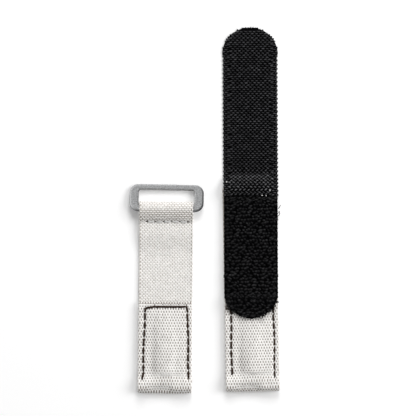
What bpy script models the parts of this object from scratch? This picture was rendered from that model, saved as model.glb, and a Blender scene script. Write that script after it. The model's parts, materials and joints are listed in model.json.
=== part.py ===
"""Hook and loop watch strap in two halves, laid side by side on a table, face up.

Each half is modelled from its own lug end: x across the strap, y along it and z up
from the table. The short half is folded round a steel ring. The long half carries a
loop tape and a hook tape, and the hook tape's tab folds back onto the loops.
"""

import math

import bmesh
import bpy
from mathutils import Vector

MM = 0.001

# How the halves, the ring and the tapes lie on the table
LUG_SPACING = 33.0 * MM
SHORT_LEAN = math.radians(-0.53)
LONG_LEAN = math.radians(1.0)
RING_LEAN = math.radians(-1.5)
TAPE_LEAN = math.radians(0.27)
TAPE_SHIFT = 0.47 * MM

# Webbing
STRAP_WIDTH = 20.0 * MM
WEBBING_THICKNESS = 1.05 * MM
WEBBING_EDGE = 0.3 * MM
LAYER_GAP = 0.3 * MM
SHORT_WEBBING_LENGTH = 71.55 * MM

# Lug ends: a tunnel for the spring bar and a flap folded to the front
LUG_TUNNEL_RADIUS = 1.0 * MM
LUG_NECK = 5.0 * MM
FLAP_LENGTH = 34.0 * MM
FLAP_PUFF = 0.4 * MM
PUFF_FADE = 2.6 * MM

# Fold round the ring's bar, with its tail on the back
TAIL_LENGTH = 11.0 * MM
TAIL_STEP = 9.0 * MM
RING_NECK_BEND = 0.7 * MM
RING_FOLD_DEGREES = 225.0

# Ring
RING_LENGTH = 10.2 * MM
RING_BAR = 1.85 * MM
RING_SIDE_BAR = 3.25 * MM
RING_THICKNESS = 1.7 * MM
RING_CHAMFER = 0.25 * MM
RING_OUTER_CORNER = 3.0 * MM
RING_INNER_CORNER = 0.9 * MM
RING_SIDE_PLAY = 0.4 * MM
RING_SHIFT = 0.1 * MM
RING_SLACK = 0.25 * MM
RING_CLEARANCE = 0.15 * MM

# Tapes
LONG_LENGTH = 136.5 * MM
TAPE_WIDTH = 20.0 * MM
TAPE_EDGE = 0.25 * MM
LOOP_TAPE_OVER_FLAP = 5.9 * MM
LOOP_TAPE_ROUND = 9.3 * MM
LOOP_TAPE_THICKNESS = 1.1 * MM
LOOP_TAPE_STEP = 2.4 * MM
HOOK_TAPE_START = 73.1 * MM
HOOK_BACKING = 0.55 * MM
TAPE_OVERLAP = 3.6 * MM
HOOK_TAPE_RAMP = 4.8 * MM
FOLD_GAP = 0.3 * MM

# Hooks
HOOK_HEIGHT = 1.4 * MM
HOOK_THICKNESS = 0.28 * MM
HOOK_REACH = 0.6 * MM
HOOK_PITCH = 1.9 * MM
HOOK_ROW_STEP = 1.35 * MM
HOOK_FIELD_WIDTH = 13.5 * MM
HOOK_END_MARGIN = 0.7 * MM
HOOK_TIP_MARGIN = 1.2 * MM

# Sewing
LUG_THREAD = 0.6 * MM
SEAM_THREAD = 0.36 * MM
BOBBIN_THREAD = 0.36 * MM
LUG_THREAD_DIP = 0.34 * MM
SEAM_THREAD_DIP = 0.13 * MM
BOBBIN_DIP = 0.22 * MM
BOBBIN_COVER = 0.06 * MM
THREAD_CLEARANCE = 0.1 * MM
STITCH_LENGTH = 3.0 * MM
LEG_INSET = 1.9 * MM
LEG_START = 5.6 * MM
TOP_LINE_INSET = 1.5 * MM
LONG_LEG_END_INSET = 1.6 * MM
RING_SEAM_FROM_FOLD = 7.35 * MM
RING_SEAM_INSET = 2.4 * MM
TAPE_SEAM_INSET = 1.3 * MM
TAPE_SEAM_END_INSET = 1.0 * MM
OVERLAP_SEAM_INSET = 3.0 * MM
CUT_OVERRUN = 0.6 * MM
GROOVE_SLANT = 0.05 * MM

# Facets
ARC_STEP_DEGREES = 25.0
EASE_STEPS = 4
CORNER_STEPS = 6
ROUND_END_STEPS = 7
SEAM_ROUND_STEPS = 26
TUBE_SIDES = 6
BOBBIN_SIDES = 4
CLOTH_SMOOTH_DEGREES = 30.0
RING_SMOOTH_DEGREES = 40.0
THREAD_SMOOTH_DEGREES = 50.0
FLAT_ANGLE = math.radians(0.02)
TILT_TRIES = 8

# Profile shares
COLUMN_SHARES = (-1.0, -2 / 3, -1 / 3, 0.0, 1 / 3, 2 / 3, 1.0)
PUFF_FADE_SHARES = (0.0, 0.5, 1.0)
NECK_PUFF_SHARE = 0.75
MITRE_LIMIT_SHARE = 0.5
STITCH_SHARES = (0.0, 0.2, 0.5, 0.8)
STITCH_RISE_SHARES = (-1.0, 0.0, 0.15, 0.0)
BOBBIN_SHARES = (0.0, 0.5)
HOOK_PATH_SHARES = ((0.0, 0.62), (0.5, 1.0), (1.0, 0.6))
HOOK_TAPER_SHARES = (0.95, 0.85, 0.7)
HOOK_TURN_DEGREES = (16.0, 90.0, 149.0)
TIP_LINE_DEGREES = (66.0, 74.0, 81.0, 87.0)

# Heights and places that follow from the sizes above
HALF_WIDTH = STRAP_WIDTH / 2
TAPE_HALF_WIDTH = TAPE_WIDTH / 2
LOWER_LAYER = WEBBING_THICKNESS / 2
UPPER_LAYER = LOWER_LAYER + WEBBING_THICKNESS + LAYER_GAP
UPPER_TOP = UPPER_LAYER + WEBBING_THICKNESS / 2
LEG_X = HALF_WIDTH - LEG_INSET
LUG_CENTRE = LUG_TUNNEL_RADIUS + WEBBING_THICKNESS
BAR_HALF = RING_BAR / 2
BAR_HALF_THICKNESS = RING_THICKNESS / 2
BAR_REACH = math.hypot(max(BAR_HALF, BAR_HALF_THICKNESS),
                       min(BAR_HALF, BAR_HALF_THICKNESS) - RING_CHAMFER)
RING_TUNNEL_RADIUS = BAR_REACH + RING_SLACK + RING_CLEARANCE
RING_FOLD_RADIUS = RING_TUNNEL_RADIUS + WEBBING_THICKNESS
RING_TUNNEL_Y = SHORT_WEBBING_LENGTH - RING_FOLD_RADIUS
RING_BAR_Y = RING_TUNNEL_Y - RING_SLACK
RING_BAR_SPACING = RING_LENGTH - RING_BAR
WEBBING_END = HOOK_TAPE_START + TAPE_OVERLAP
FLAP_THREAD_GAP = LUG_THREAD / 2 + LUG_THREAD_DIP * max(STITCH_RISE_SHARES) + THREAD_CLEARANCE
LOOP_TAPE_START = FLAP_LENGTH - LOOP_TAPE_OVER_FLAP
LOOP_TAPE_LOW = WEBBING_THICKNESS + LAYER_GAP
LOOP_TAPE_HIGH = UPPER_TOP + FLAP_THREAD_GAP
HOOK_TAPE_LIFT = LOOP_TAPE_LOW + LOOP_TAPE_THICKNESS + LAYER_GAP
RAMP_START = WEBBING_END + LAYER_GAP
FOLD_Y = RAMP_START + HOOK_TAPE_RAMP / 2
HOOKS_TOP = HOOK_BACKING + HOOK_HEIGHT
FOLD_Z = HOOKS_TOP + HOOK_TAPE_LIFT / 2 + LAYER_GAP


def clear_scene():
    for old in list(bpy.data.objects):
        bpy.data.objects.remove(old, do_unlink=True)


def make_material(name, colour, roughness, metallic=0.0):
    material = bpy.data.materials.new(name)
    material.use_nodes = True
    shader = material.node_tree.nodes["Principled BSDF"]
    shader.inputs["Base Color"].default_value = (*colour, 1.0)
    shader.inputs["Roughness"].default_value = roughness
    shader.inputs["Metallic"].default_value = metallic
    material.diffuse_color = (*colour, 1.0)
    return material


def make_empty(name, parent=None, location=(0, 0, 0), rotation=(0, 0, 0)):
    empty = bpy.data.objects.new(name, None)
    empty.location = location
    empty.rotation_euler = rotation
    empty.parent = parent
    bpy.context.scene.collection.objects.link(empty)
    return empty


def make_object(name, bm, material, parent, smooth_degrees=None):
    """Turn a bmesh into a closed, outward-facing object under its frame."""
    bmesh.ops.recalc_face_normals(bm, faces=bm.faces)
    mesh = bpy.data.meshes.new(name)
    bm.to_mesh(mesh)
    bm.free()
    if material is not None:
        mesh.materials.append(material)
    if smooth_degrees is not None:
        mesh.shade_smooth()
        mesh.set_sharp_from_angle(angle=math.radians(smooth_degrees))
    item = bpy.data.objects.new(name, mesh)
    item.parent = parent
    bpy.context.scene.collection.objects.link(item)
    return item


def ease(share):
    """Smooth step from 0 to 1, held outside that range."""
    share = min(max(share, 0.0), 1.0)
    return share * share * (3 - 2 * share)


def loft(rings, closed_loop=False):
    """Skin a row of equal rings, capped at its ends unless it closes on itself."""
    bm = bmesh.new()
    rows = [[bm.verts.new(point) for point in ring] for ring in rings]
    count = len(rows[0])
    pairs = list(zip(rows, rows[1:]))
    if closed_loop:
        pairs.append((rows[-1], rows[0]))
    for near, far in pairs:
        for i in range(count):
            j = (i + 1) % count
            bm.faces.new((near[i], near[j], far[j], far[i]))
    if not closed_loop:
        bm.faces.new(rows[0])
        bm.faces.new(rows[-1][::-1])
    return bm


def merge_flat_faces(bm):
    """Join the faces that lie in one plane, and leave none that is bent."""
    bmesh.ops.recalc_face_normals(bm, faces=bm.faces)
    bmesh.ops.dissolve_limit(bm, angle_limit=FLAT_ANGLE, verts=bm.verts, edges=bm.edges)
    bmesh.ops.triangulate(bm, faces=bm.faces)


# Webbing strips
def eased_run(start, end, puff_start=0.0, puff_end=0.0):
    """Stations of a strip that changes height gently, after its start."""
    stations = []
    for step in range(1, EASE_STEPS + 1):
        share = step / EASE_STEPS
        y = start[0] + (end[0] - start[0]) * share
        z = start[1] + (end[1] - start[1]) * ease(share)
        stations.append((y, z, puff_start + (puff_end - puff_start) * share))
    return stations


def turn_round(y, z, radius, start_degrees, turn_degrees):
    """Stations of a strip that turns round a tunnel, from its start to its end."""
    steps = round(abs(turn_degrees) / ARC_STEP_DEGREES)
    stations = []
    for step in range(steps + 1):
        angle = math.radians(start_degrees + turn_degrees * step / steps)
        stations.append((y + radius * math.cos(angle), z + radius * math.sin(angle), 0.0))
    return stations


def lug_fold(puff_end):
    """Stations from the flap's cut edge, down round the lug tunnel, to the lower layer."""
    radius = LUG_TUNNEL_RADIUS + WEBBING_THICKNESS / 2
    neck = LUG_CENTRE + LUG_NECK
    stations = [(FLAP_LENGTH, UPPER_LAYER, 0.0)]
    for share in PUFF_FADE_SHARES:
        stations.append((puff_end - PUFF_FADE * share, UPPER_LAYER, ease(share)))
    stations.append((neck + PUFF_FADE, UPPER_LAYER, 1.0))
    stations.append((neck, UPPER_LAYER, NECK_PUFF_SHARE))
    stations += eased_run((neck, UPPER_LAYER), (LUG_CENTRE, LUG_CENTRE + radius),
                          NECK_PUFF_SHARE, 0.0)
    return stations[:-1] + turn_round(LUG_CENTRE, LUG_CENTRE, radius, 90, 180)


def ring_fold():
    """Stations from the lower layer, up over the tail, round the ring's bar and back."""
    radius = RING_TUNNEL_RADIUS + WEBBING_THICKNESS / 2
    tail_end = SHORT_WEBBING_LENGTH - TAIL_LENGTH
    step_end = tail_end - LAYER_GAP
    step_start = step_end - TAIL_STEP
    turn = turn_round(RING_TUNNEL_Y, RING_FOLD_RADIUS, radius, RING_FOLD_DEGREES - 90,
                      -RING_FOLD_DEGREES)
    slope = math.radians(RING_FOLD_DEGREES - 180)
    neck = turn[0][0] - (turn[0][1] - UPPER_LAYER) / math.tan(slope)
    bend_y = RING_NECK_BEND * math.cos(slope)
    bend_z = RING_NECK_BEND * math.sin(slope)
    stations = [(step_start, LOWER_LAYER, 0.0)]
    stations += eased_run((step_start, LOWER_LAYER), (step_end, UPPER_LAYER))
    stations.append((neck - RING_NECK_BEND, UPPER_LAYER, 0.0))
    stations.append((neck, UPPER_LAYER, 0.0))
    stations.append((neck + bend_y, UPPER_LAYER + bend_z, 0.0))
    stations += turn
    stations.append((tail_end, LOWER_LAYER, 0.0))
    return stations


def strip_section(station, direction):
    """One cross-section of the webbing, square to its path and puffed in the middle."""
    y, z, puff = station
    normal = Vector((0.0, direction.z, -direction.y))
    side = HALF_WIDTH - WEBBING_EDGE
    columns = [-side] + [LEG_X * share for share in COLUMN_SHARES] + [side]
    lifts = [FLAP_PUFF * puff * math.cos(math.pi * min(abs(x) / LEG_X, 1.0) / 2) ** 2
             for x in columns]
    middle = Vector((0.0, y, z))
    half = WEBBING_THICKNESS / 2
    across = Vector((1.0, 0.0, 0.0))
    outer = [middle + across * x + normal * (half + lift) for x, lift in zip(columns, lifts)]
    inner = [middle + across * x + normal * (lift - half) for x, lift in zip(columns, lifts)]
    right = middle + across * HALF_WIDTH
    left = middle - across * HALF_WIDTH
    return outer + [right] + inner[::-1] + [left]


def make_strip(name, stations, material, parent):
    points = [Vector((0.0, y, z)) for y, z, puff in stations]
    sections = []
    for i, station in enumerate(stations):
        before = points[max(i - 1, 0)]
        after = points[min(i + 1, len(points) - 1)]
        direction = (after - before).normalized()
        sections.append(strip_section(station, direction))
    bm = loft(sections)
    merge_flat_faces(bm)
    return make_object(name, bm, material, parent, CLOTH_SMOOTH_DEGREES)


def flap_top(point):
    """Height of the flap's upper face along a leg, which climbs to the lug tunnel."""
    rise = LUG_CENTRE + LUG_TUNNEL_RADIUS + WEBBING_THICKNESS - UPPER_TOP
    return UPPER_TOP + rise * ease(1 - (point[1] - LUG_CENTRE) / LUG_NECK)


# Seams
def path_lengths(path):
    lengths = [0.0]
    for a, b in zip(path, path[1:]):
        lengths.append(lengths[-1] + math.dist(a, b))
    return lengths


def path_point(path, lengths, distance):
    """The point that lies a distance along a path of (x, y) points."""
    for i in range(len(path) - 1):
        if distance <= lengths[i + 1] or i == len(path) - 2:
            share = (distance - lengths[i]) / (lengths[i + 1] - lengths[i])
            a, b = path[i], path[i + 1]
            return (a[0] + (b[0] - a[0]) * share, a[1] + (b[1] - a[1]) * share)


def stitch_places(runs, shares):
    """Points along runs of stitches: (x, y) and the index of the share they stand for."""
    places = []
    for run in runs:
        lengths = path_lengths(run)
        count = max(1, round(lengths[-1] / STITCH_LENGTH))
        for stitch in range(count):
            for index, share in enumerate(shares):
                distance = lengths[-1] * (stitch + share) / count
                places.append((path_point(run, lengths, distance), index))
    places.append((runs[-1][-1], 0))
    return places


def make_tube(name, points, radius, sides, material, parent):
    """A thread: a tube along its points, kept upright."""
    rings = []
    up = Vector((0.0, 0.0, 1.0))
    for i, point in enumerate(points):
        before = points[max(i - 1, 0)]
        after = points[min(i + 1, len(points) - 1)]
        side = (after - before).cross(up).normalized()
        top = side.cross(after - before).normalized()
        ring = []
        for corner in range(sides):
            angle = 2 * math.pi * (corner + 0.5) / sides
            ring.append(point + side * (radius * math.cos(angle)) + top * (radius * math.sin(angle)))
        rings.append(ring)
    return make_object(name, loft(rings), material, parent, THREAD_SMOOTH_DEGREES)


def make_needle_thread(name, runs, surface, diameter, dip, material, parent):
    """Upper thread: over the face between two holes and down into each hole."""
    points = []
    for place, index in stitch_places(runs, STITCH_SHARES):
        height = surface(place) + dip * STITCH_RISE_SHARES[index]
        points.append(Vector((place[0], place[1], height)))
    return make_tube(name, points, diameter / 2, TUBE_SIDES, material, parent)


def make_bobbin_thread(name, runs, material, parent):
    """Lower thread, sunk into the back so that the strap still lies flat."""
    radius = BOBBIN_THREAD / 2
    lows = (BOBBIN_COVER + radius + BOBBIN_DIP, BOBBIN_COVER + radius)
    points = []
    for place, index in stitch_places(runs, BOBBIN_SHARES):
        points.append(Vector((place[0], place[1], lows[index])))
    return make_tube(name, points, radius, BOBBIN_SIDES, material, parent)


def join_runs(runs):
    path = [runs[0][0]]
    for run in runs:
        path += run[1:]
    return path


def make_groove_cutter(name, runs, half_width, low, high, parent):
    """A channel that follows a seam, from height low(point) to high(point)."""
    path = [Vector(point) for point in join_runs(runs)]
    first = (path[0] - path[1]).normalized()
    last = (path[-1] - path[-2]).normalized()
    path[0] = path[0] + first * half_width
    path[-1] = path[-1] + last * half_width
    rings = []
    for i, point in enumerate(path):
        before = (point - path[max(i - 1, 0)]).normalized() if i else -first
        after = (path[i + 1] - point).normalized() if i < len(path) - 1 else last
        bisector = (before + after).normalized()
        across = Vector((bisector.y, -bisector.x))
        mitre = max(across.dot(Vector((before.y, -before.x))), MITRE_LIMIT_SHARE)
        reach = half_width / mitre
        right = point + across * reach
        left = point - across * reach
        place = (point.x, point.y)
        rings.append([(left.x, left.y, low(place)), (right.x, right.y, low(place)),
                      (right.x, right.y, high(place)), (left.x, left.y, high(place))])
    bm = loft(rings)
    bmesh.ops.triangulate(bm, faces=bm.faces)
    cutter = make_object(name, bm, None, parent)
    cutter.hide_render = True
    cutter.display_type = "WIRE"
    return cutter


def cut(target, cutter):
    modifier = target.modifiers.new(cutter.name, "BOOLEAN")
    modifier.operation = "DIFFERENCE"
    modifier.object = cutter


def cut_needle_groove(target, name, runs, surface, diameter, dip, parent):
    half = diameter / 2 + THREAD_CLEARANCE
    cutter = make_groove_cutter(name, runs, half, lambda place: surface(place) - dip - half,
                                lambda place: surface(place) + CUT_OVERRUN, parent)
    cut(target, cutter)


def cut_bobbin_groove(target, name, runs, parent):
    half = BOBBIN_THREAD / 2 + THREAD_CLEARANCE
    top = BOBBIN_COVER + BOBBIN_DIP + BOBBIN_THREAD + THREAD_CLEARANCE
    cutter = make_groove_cutter(name, runs, half, lambda place: -CUT_OVERRUN, lambda place: top,
                                parent)
    cut(target, cutter)


# Ring
def rounded_outline(half_x, low_y, high_y, radius):
    """A rectangle with round corners, anticlockwise from its lower right corner."""
    corners = ((half_x, low_y, -90), (half_x, high_y, 0), (-half_x, high_y, 90),
               (-half_x, low_y, 180))
    points = []
    for x, y, start in corners:
        centre_x = x - math.copysign(radius, x)
        centre_y = y + radius if y == low_y else y - radius
        for step in range(CORNER_STEPS + 1):
            angle = math.radians(start + 90 * step / CORNER_STEPS)
            points.append((centre_x + radius * math.cos(angle), centre_y + radius * math.sin(angle)))
    return points


def ring_outlines():
    """The ring's outer and inner outlines, each also moved in by the bevel."""
    inner_half = HALF_WIDTH + RING_SIDE_PLAY
    outer_half = inner_half + RING_SIDE_BAR
    outer_low = -BAR_HALF
    outer_high = RING_BAR_SPACING + BAR_HALF
    inner_low = BAR_HALF
    inner_high = RING_BAR_SPACING - BAR_HALF
    bevel = RING_CHAMFER
    outer = rounded_outline(outer_half, outer_low, outer_high, RING_OUTER_CORNER)
    outer_face = rounded_outline(outer_half - bevel, outer_low + bevel, outer_high - bevel,
                                 RING_OUTER_CORNER - bevel)
    inner = rounded_outline(inner_half, inner_low, inner_high, RING_INNER_CORNER)
    inner_face = rounded_outline(inner_half + bevel, inner_low - bevel, inner_high + bevel,
                                 RING_INNER_CORNER + bevel)
    return outer, outer_face, inner, inner_face


def make_ring(material, parent):
    face = BAR_HALF_THICKNESS
    edge = face - RING_CHAMFER
    sections = []
    for outer, outer_face, inner, inner_face in zip(*ring_outlines()):
        sections.append([(*outer, -edge), (*outer, edge), (*outer_face, face), (*inner_face, face),
                         (*inner, edge), (*inner, -edge), (*inner_face, -face),
                         (*outer_face, -face)])
    return make_object("buckle_ring", loft(sections, closed_loop=True), material, parent,
                       RING_SMOOTH_DEGREES)


def ring_tilt():
    """Angle at which the far bar comes down to rest on the table."""
    tilt = 0.0
    for _ in range(TILT_TRIES):
        bar_low = (BAR_HALF_THICKNESS * math.cos(tilt)
                   + (BAR_HALF - RING_CHAMFER) * math.sin(tilt))
        tilt = math.asin((RING_FOLD_RADIUS - bar_low) / RING_BAR_SPACING)
    return tilt


# Tapes
def loop_tape_bottom(y):
    start = FLAP_LENGTH + LAYER_GAP
    drop = ease((y - start) / LOOP_TAPE_STEP)
    return LOOP_TAPE_HIGH + (LOOP_TAPE_LOW - LOOP_TAPE_HIGH) * drop


def loop_tape_top(point):
    return loop_tape_bottom(point[1]) + LOOP_TAPE_THICKNESS


def make_loop_tape(material, parent):
    """Flat tape with a rounded lower end, stepping down off the flap's cut edge."""
    stations = []
    for step in range(1, ROUND_END_STEPS + 1):
        angle = math.radians(90 * step / ROUND_END_STEPS)
        y = LOOP_TAPE_START + LOOP_TAPE_ROUND * (1 - math.cos(angle))
        stations.append((y, TAPE_HALF_WIDTH * math.sin(angle)))
    step_start = FLAP_LENGTH + LAYER_GAP
    for step in range(EASE_STEPS + 1):
        y = step_start + LOOP_TAPE_STEP * step / EASE_STEPS
        stations.append((y, loop_tape_half_width(y)))
    stations.append((WEBBING_END, TAPE_HALF_WIDTH))
    stations.sort()
    sections = []
    for y, half in stations:
        low = loop_tape_bottom(y)
        high = low + LOOP_TAPE_THICKNESS
        middle = (low + high) / 2
        flat = half - TAPE_EDGE
        sections.append([(-flat, y, high), (flat, y, high), (half, y, middle), (flat, y, low),
                         (-flat, y, low), (-half, y, middle)])
    bm = loft(sections)
    merge_flat_faces(bm)
    return make_object("loop_tape", bm, material, parent, CLOTH_SMOOTH_DEGREES)


def loop_tape_half_width(y):
    share = min((y - LOOP_TAPE_START) / LOOP_TAPE_ROUND, 1.0)
    return TAPE_HALF_WIDTH * math.sqrt(1 - (1 - share) ** 2)


def tape_seam_runs():
    """Down one edge of the loop tape, round its lower end and up the other edge."""
    half = TAPE_HALF_WIDTH - TAPE_SEAM_INSET
    depth = LOOP_TAPE_ROUND - TAPE_SEAM_INSET
    centre = LOOP_TAPE_START + LOOP_TAPE_ROUND
    top = HOOK_TAPE_START - TAPE_SEAM_END_INSET
    path = [(-half, top)]
    for step in range(SEAM_ROUND_STEPS + 1):
        angle = math.pi + math.pi * step / SEAM_ROUND_STEPS
        path.append((half * math.cos(angle), centre + depth * math.sin(angle)))
    path.append((half, top))
    return [path]


def hook_tape_bottom(y):
    return HOOK_TAPE_LIFT * (1 - ease((y - RAMP_START) / HOOK_TAPE_RAMP))


def hook_tape_half_width(y):
    beyond = y - (LONG_LENGTH - TAPE_HALF_WIDTH)
    if beyond <= 0:
        return TAPE_HALF_WIDTH
    return math.sqrt(max(TAPE_HALF_WIDTH ** 2 - beyond ** 2, 0.0))


def hook_rows():
    """Places of the hooks: one (y, x values, side they bend to) for each row."""
    rows = []
    y = HOOK_TAPE_START + HOOK_END_MARGIN
    index = 0
    while y < LONG_LENGTH - HOOK_TIP_MARGIN:
        room = min(HOOK_FIELD_WIDTH / 2, hook_tape_half_width(y + HOOK_THICKNESS) - HOOK_TIP_MARGIN)
        offset = HOOK_PITCH / 2 if index % 2 == 0 else 0.0
        reach = int((room + offset) / HOOK_PITCH)
        start = 1 - reach if index % 2 == 0 else -reach
        places = [HOOK_PITCH * step - offset for step in range(start, reach + 1)]
        if len(places) > 1:
            rows.append((y, places, 1 if index % 2 == 0 else -1))
        y += HOOK_ROW_STEP
        index += 1
    return rows


def tape_lines(low_y, high_y, rows, grooves):
    """Lines across the tape, in order: (y, depth of a groove, row, place in the row)."""
    half = HOOK_THICKNESS / 2
    plain = [low_y, high_y, RAMP_START, RAMP_START + HOOK_TAPE_RAMP]
    plain += [LONG_LENGTH - TAPE_HALF_WIDTH * (1 - math.sin(math.radians(angle)))
              for angle in TIP_LINE_DEGREES]
    lines = []
    for y in plain:
        clear = all(abs(y - row[0]) > HOOK_THICKNESS for row in rows)
        if low_y <= y <= high_y and clear:
            lines.append((y, 0.0, None, "plain"))
    for row in rows:
        lines.append((row[0] - half, 0.0, row, "base"))
        lines.append((row[0] + half, 0.0, row, "apex"))
    for seam_y, half_groove, depth in grooves:
        for side in (-1, 1):
            lines.append((seam_y + side * (half_groove + GROOVE_SLANT), 0.0, None, "plain"))
            lines.append((seam_y + side * half_groove, depth, None, "plain"))
    lines.sort(key=lambda line: line[0])
    return lines


def zip_between(bm, near, far):
    """Triangles between two rows of vertices that both run left to right."""
    i = j = 0
    while i < len(near) - 1 or j < len(far) - 1:
        take_near = j == len(far) - 1 or (
            i < len(near) - 1 and near[i + 1].co.x <= far[j + 1].co.x)
        if take_near:
            bm.faces.new((near[i], near[i + 1], far[j]))
            i += 1
        else:
            bm.faces.new((near[i], far[j + 1], far[j]))
            j += 1


def grow_hook(bm, base, side):
    """Raise one hook from its three-cornered root and bend its tip over sideways."""
    crown = HOOK_HEIGHT - HOOK_THICKNESS / 2
    centre = (base[0].co + base[1].co) / 4 + base[2].co / 2
    below = base
    for (reach, height), taper, turn in zip(HOOK_PATH_SHARES, HOOK_TAPER_SHARES,
                                            HOOK_TURN_DEGREES):
        angle = math.radians(turn) * side
        middle = Vector((side * HOOK_REACH * reach, 0.0, crown * height))
        ring = []
        for corner in base:
            flat = (corner.co - centre) * taper
            turned = Vector((flat.x * math.cos(angle), flat.y, -flat.x * math.sin(angle)))
            ring.append(bm.verts.new(centre + middle + turned))
        for i in range(3):
            j = (i + 1) % 3
            bm.faces.new((below[i], below[j], ring[j], ring[i]))
        below = ring
    bm.faces.new(below)


def make_hook_tape(name, low_y, high_y, rows, grooves, material, parent):
    """A length of hook tape: thin backing with its hooks grown from the upper face."""
    bm = bmesh.new()
    half = HOOK_THICKNESS / 2
    tops, bottoms, places = [], [], []
    for y, depth, row, place in tape_lines(low_y, high_y, rows, grooves):
        edge = hook_tape_half_width(y)
        low = hook_tape_bottom(y)
        high = low + HOOK_BACKING - depth
        across = [-edge, edge]
        if place == "base":
            across += [x + side * half for x in row[1] for side in (-1, 1)]
        elif place == "apex":
            across += row[1]
        tops.append([bm.verts.new((x, y, high)) for x in sorted(across)])
        bottoms.append([bm.verts.new((x, y, low)) for x in (-edge, edge)])
        places.append((place, row))
    for i in range(len(tops) - 1):
        near, far = tops[i], tops[i + 1]
        near_low, far_low = bottoms[i], bottoms[i + 1]
        bm.faces.new((near_low[0], far_low[0], far_low[1], near_low[1]))
        bm.faces.new((near[0], far[0], far_low[0], near_low[0]))
        bm.faces.new((near[-1], near_low[1], far_low[1], far[-1]))
        place, row = places[i]
        if place != "base":
            zip_between(bm, near, far)
            continue
        for gap in range(len(far) - 1):
            bm.faces.new((near[2 * gap], near[2 * gap + 1], far[gap + 1], far[gap]))
        for hook in range(len(row[1])):
            grow_hook(bm, (near[2 * hook + 1], near[2 * hook + 2], far[hook + 1]), row[2])
    bm.faces.new((tops[0][-1], tops[0][0], bottoms[0][0], bottoms[0][1]))
    bm.faces.new((tops[-1][0], tops[-1][-1], bottoms[-1][1], bottoms[-1][0]))
    return make_object(name, bm, material, parent)


def make_hook_tapes(material, tape_frame, fold_frame):
    """The sewn end of the hook tape, and the tab that folds about its own axis."""
    seam_y = HOOK_TAPE_START + TAPE_OVERLAP / 2
    groove_half = SEAM_THREAD / 2 + THREAD_CLEARANCE
    groove_depth = SEAM_THREAD_DIP + groove_half
    groove_room = groove_half + 2 * GROOVE_SLANT + HOOK_THICKNESS / 2
    root_end = FOLD_Y - FOLD_GAP / 2
    tab_start = FOLD_Y + FOLD_GAP / 2
    tab_end = LONG_LENGTH - TAPE_HALF_WIDTH * (1 - math.sin(math.radians(TIP_LINE_DEGREES[-1])))
    rows = hook_rows()
    root_rows = [row for row in rows if row[0] < root_end - HOOK_THICKNESS
                 and abs(row[0] - seam_y) > groove_room]
    tab_rows = [row for row in rows if row[0] > tab_start + HOOK_THICKNESS]
    make_hook_tape("hook_tape_root", HOOK_TAPE_START, root_end, root_rows,
                   [(seam_y, groove_half, groove_depth)], material, tape_frame)
    tab = make_hook_tape("hook_tab", tab_start, tab_end, tab_rows, [], material, fold_frame)
    tab.location = (0.0, -FOLD_Y, -FOLD_Z)


def overlap_surface(point):
    return hook_tape_bottom(point[1]) + HOOK_BACKING


def upper_layer_top(point):
    return UPPER_TOP


def leg_run(x, start, end):
    """A straight run of stitches up the flap, with points where the flap changes height."""
    neck = LUG_CENTRE + LUG_NECK
    path = [(x, start)]
    if start < neck < end:
        path += [(x, (start + neck) / 2), (x, neck)]
    path.append((x, end))
    return path


def cross_run(half, y):
    return [(-half, y), (half, y)]


# The two halves
def make_short_half(frame, webbing_material, brown_thread, white_thread):
    seam_top = FLAP_LENGTH - TOP_LINE_INSET
    webbing = make_strip("short_webbing", lug_fold(seam_top) + ring_fold(), webbing_material,
                         frame)
    left = leg_run(-LEG_X, LEG_START, seam_top)
    right = leg_run(LEG_X, LEG_START, seam_top)[::-1]
    lug_runs = [left, cross_run(LEG_X, seam_top), right]
    cut_needle_groove(webbing, "short_lug_groove", lug_runs, flap_top, LUG_THREAD,
                      LUG_THREAD_DIP, frame)
    cut_bobbin_groove(webbing, "short_lug_back_groove", lug_runs, frame)
    make_needle_thread("short_lug_needle_thread", lug_runs, flap_top, LUG_THREAD,
                       LUG_THREAD_DIP, brown_thread, frame)
    make_bobbin_thread("short_lug_bobbin_thread", lug_runs, brown_thread, frame)
    ring_runs = [cross_run(HALF_WIDTH - RING_SEAM_INSET, SHORT_WEBBING_LENGTH - RING_SEAM_FROM_FOLD)]
    cut_needle_groove(webbing, "ring_seam_groove", ring_runs, upper_layer_top, SEAM_THREAD,
                      SEAM_THREAD_DIP, frame)
    cut_bobbin_groove(webbing, "ring_seam_back_groove", ring_runs, frame)
    make_needle_thread("ring_seam_needle_thread", ring_runs, upper_layer_top, SEAM_THREAD,
                       SEAM_THREAD_DIP, white_thread, frame)
    make_bobbin_thread("ring_seam_bobbin_thread", ring_runs, white_thread, frame)


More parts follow.
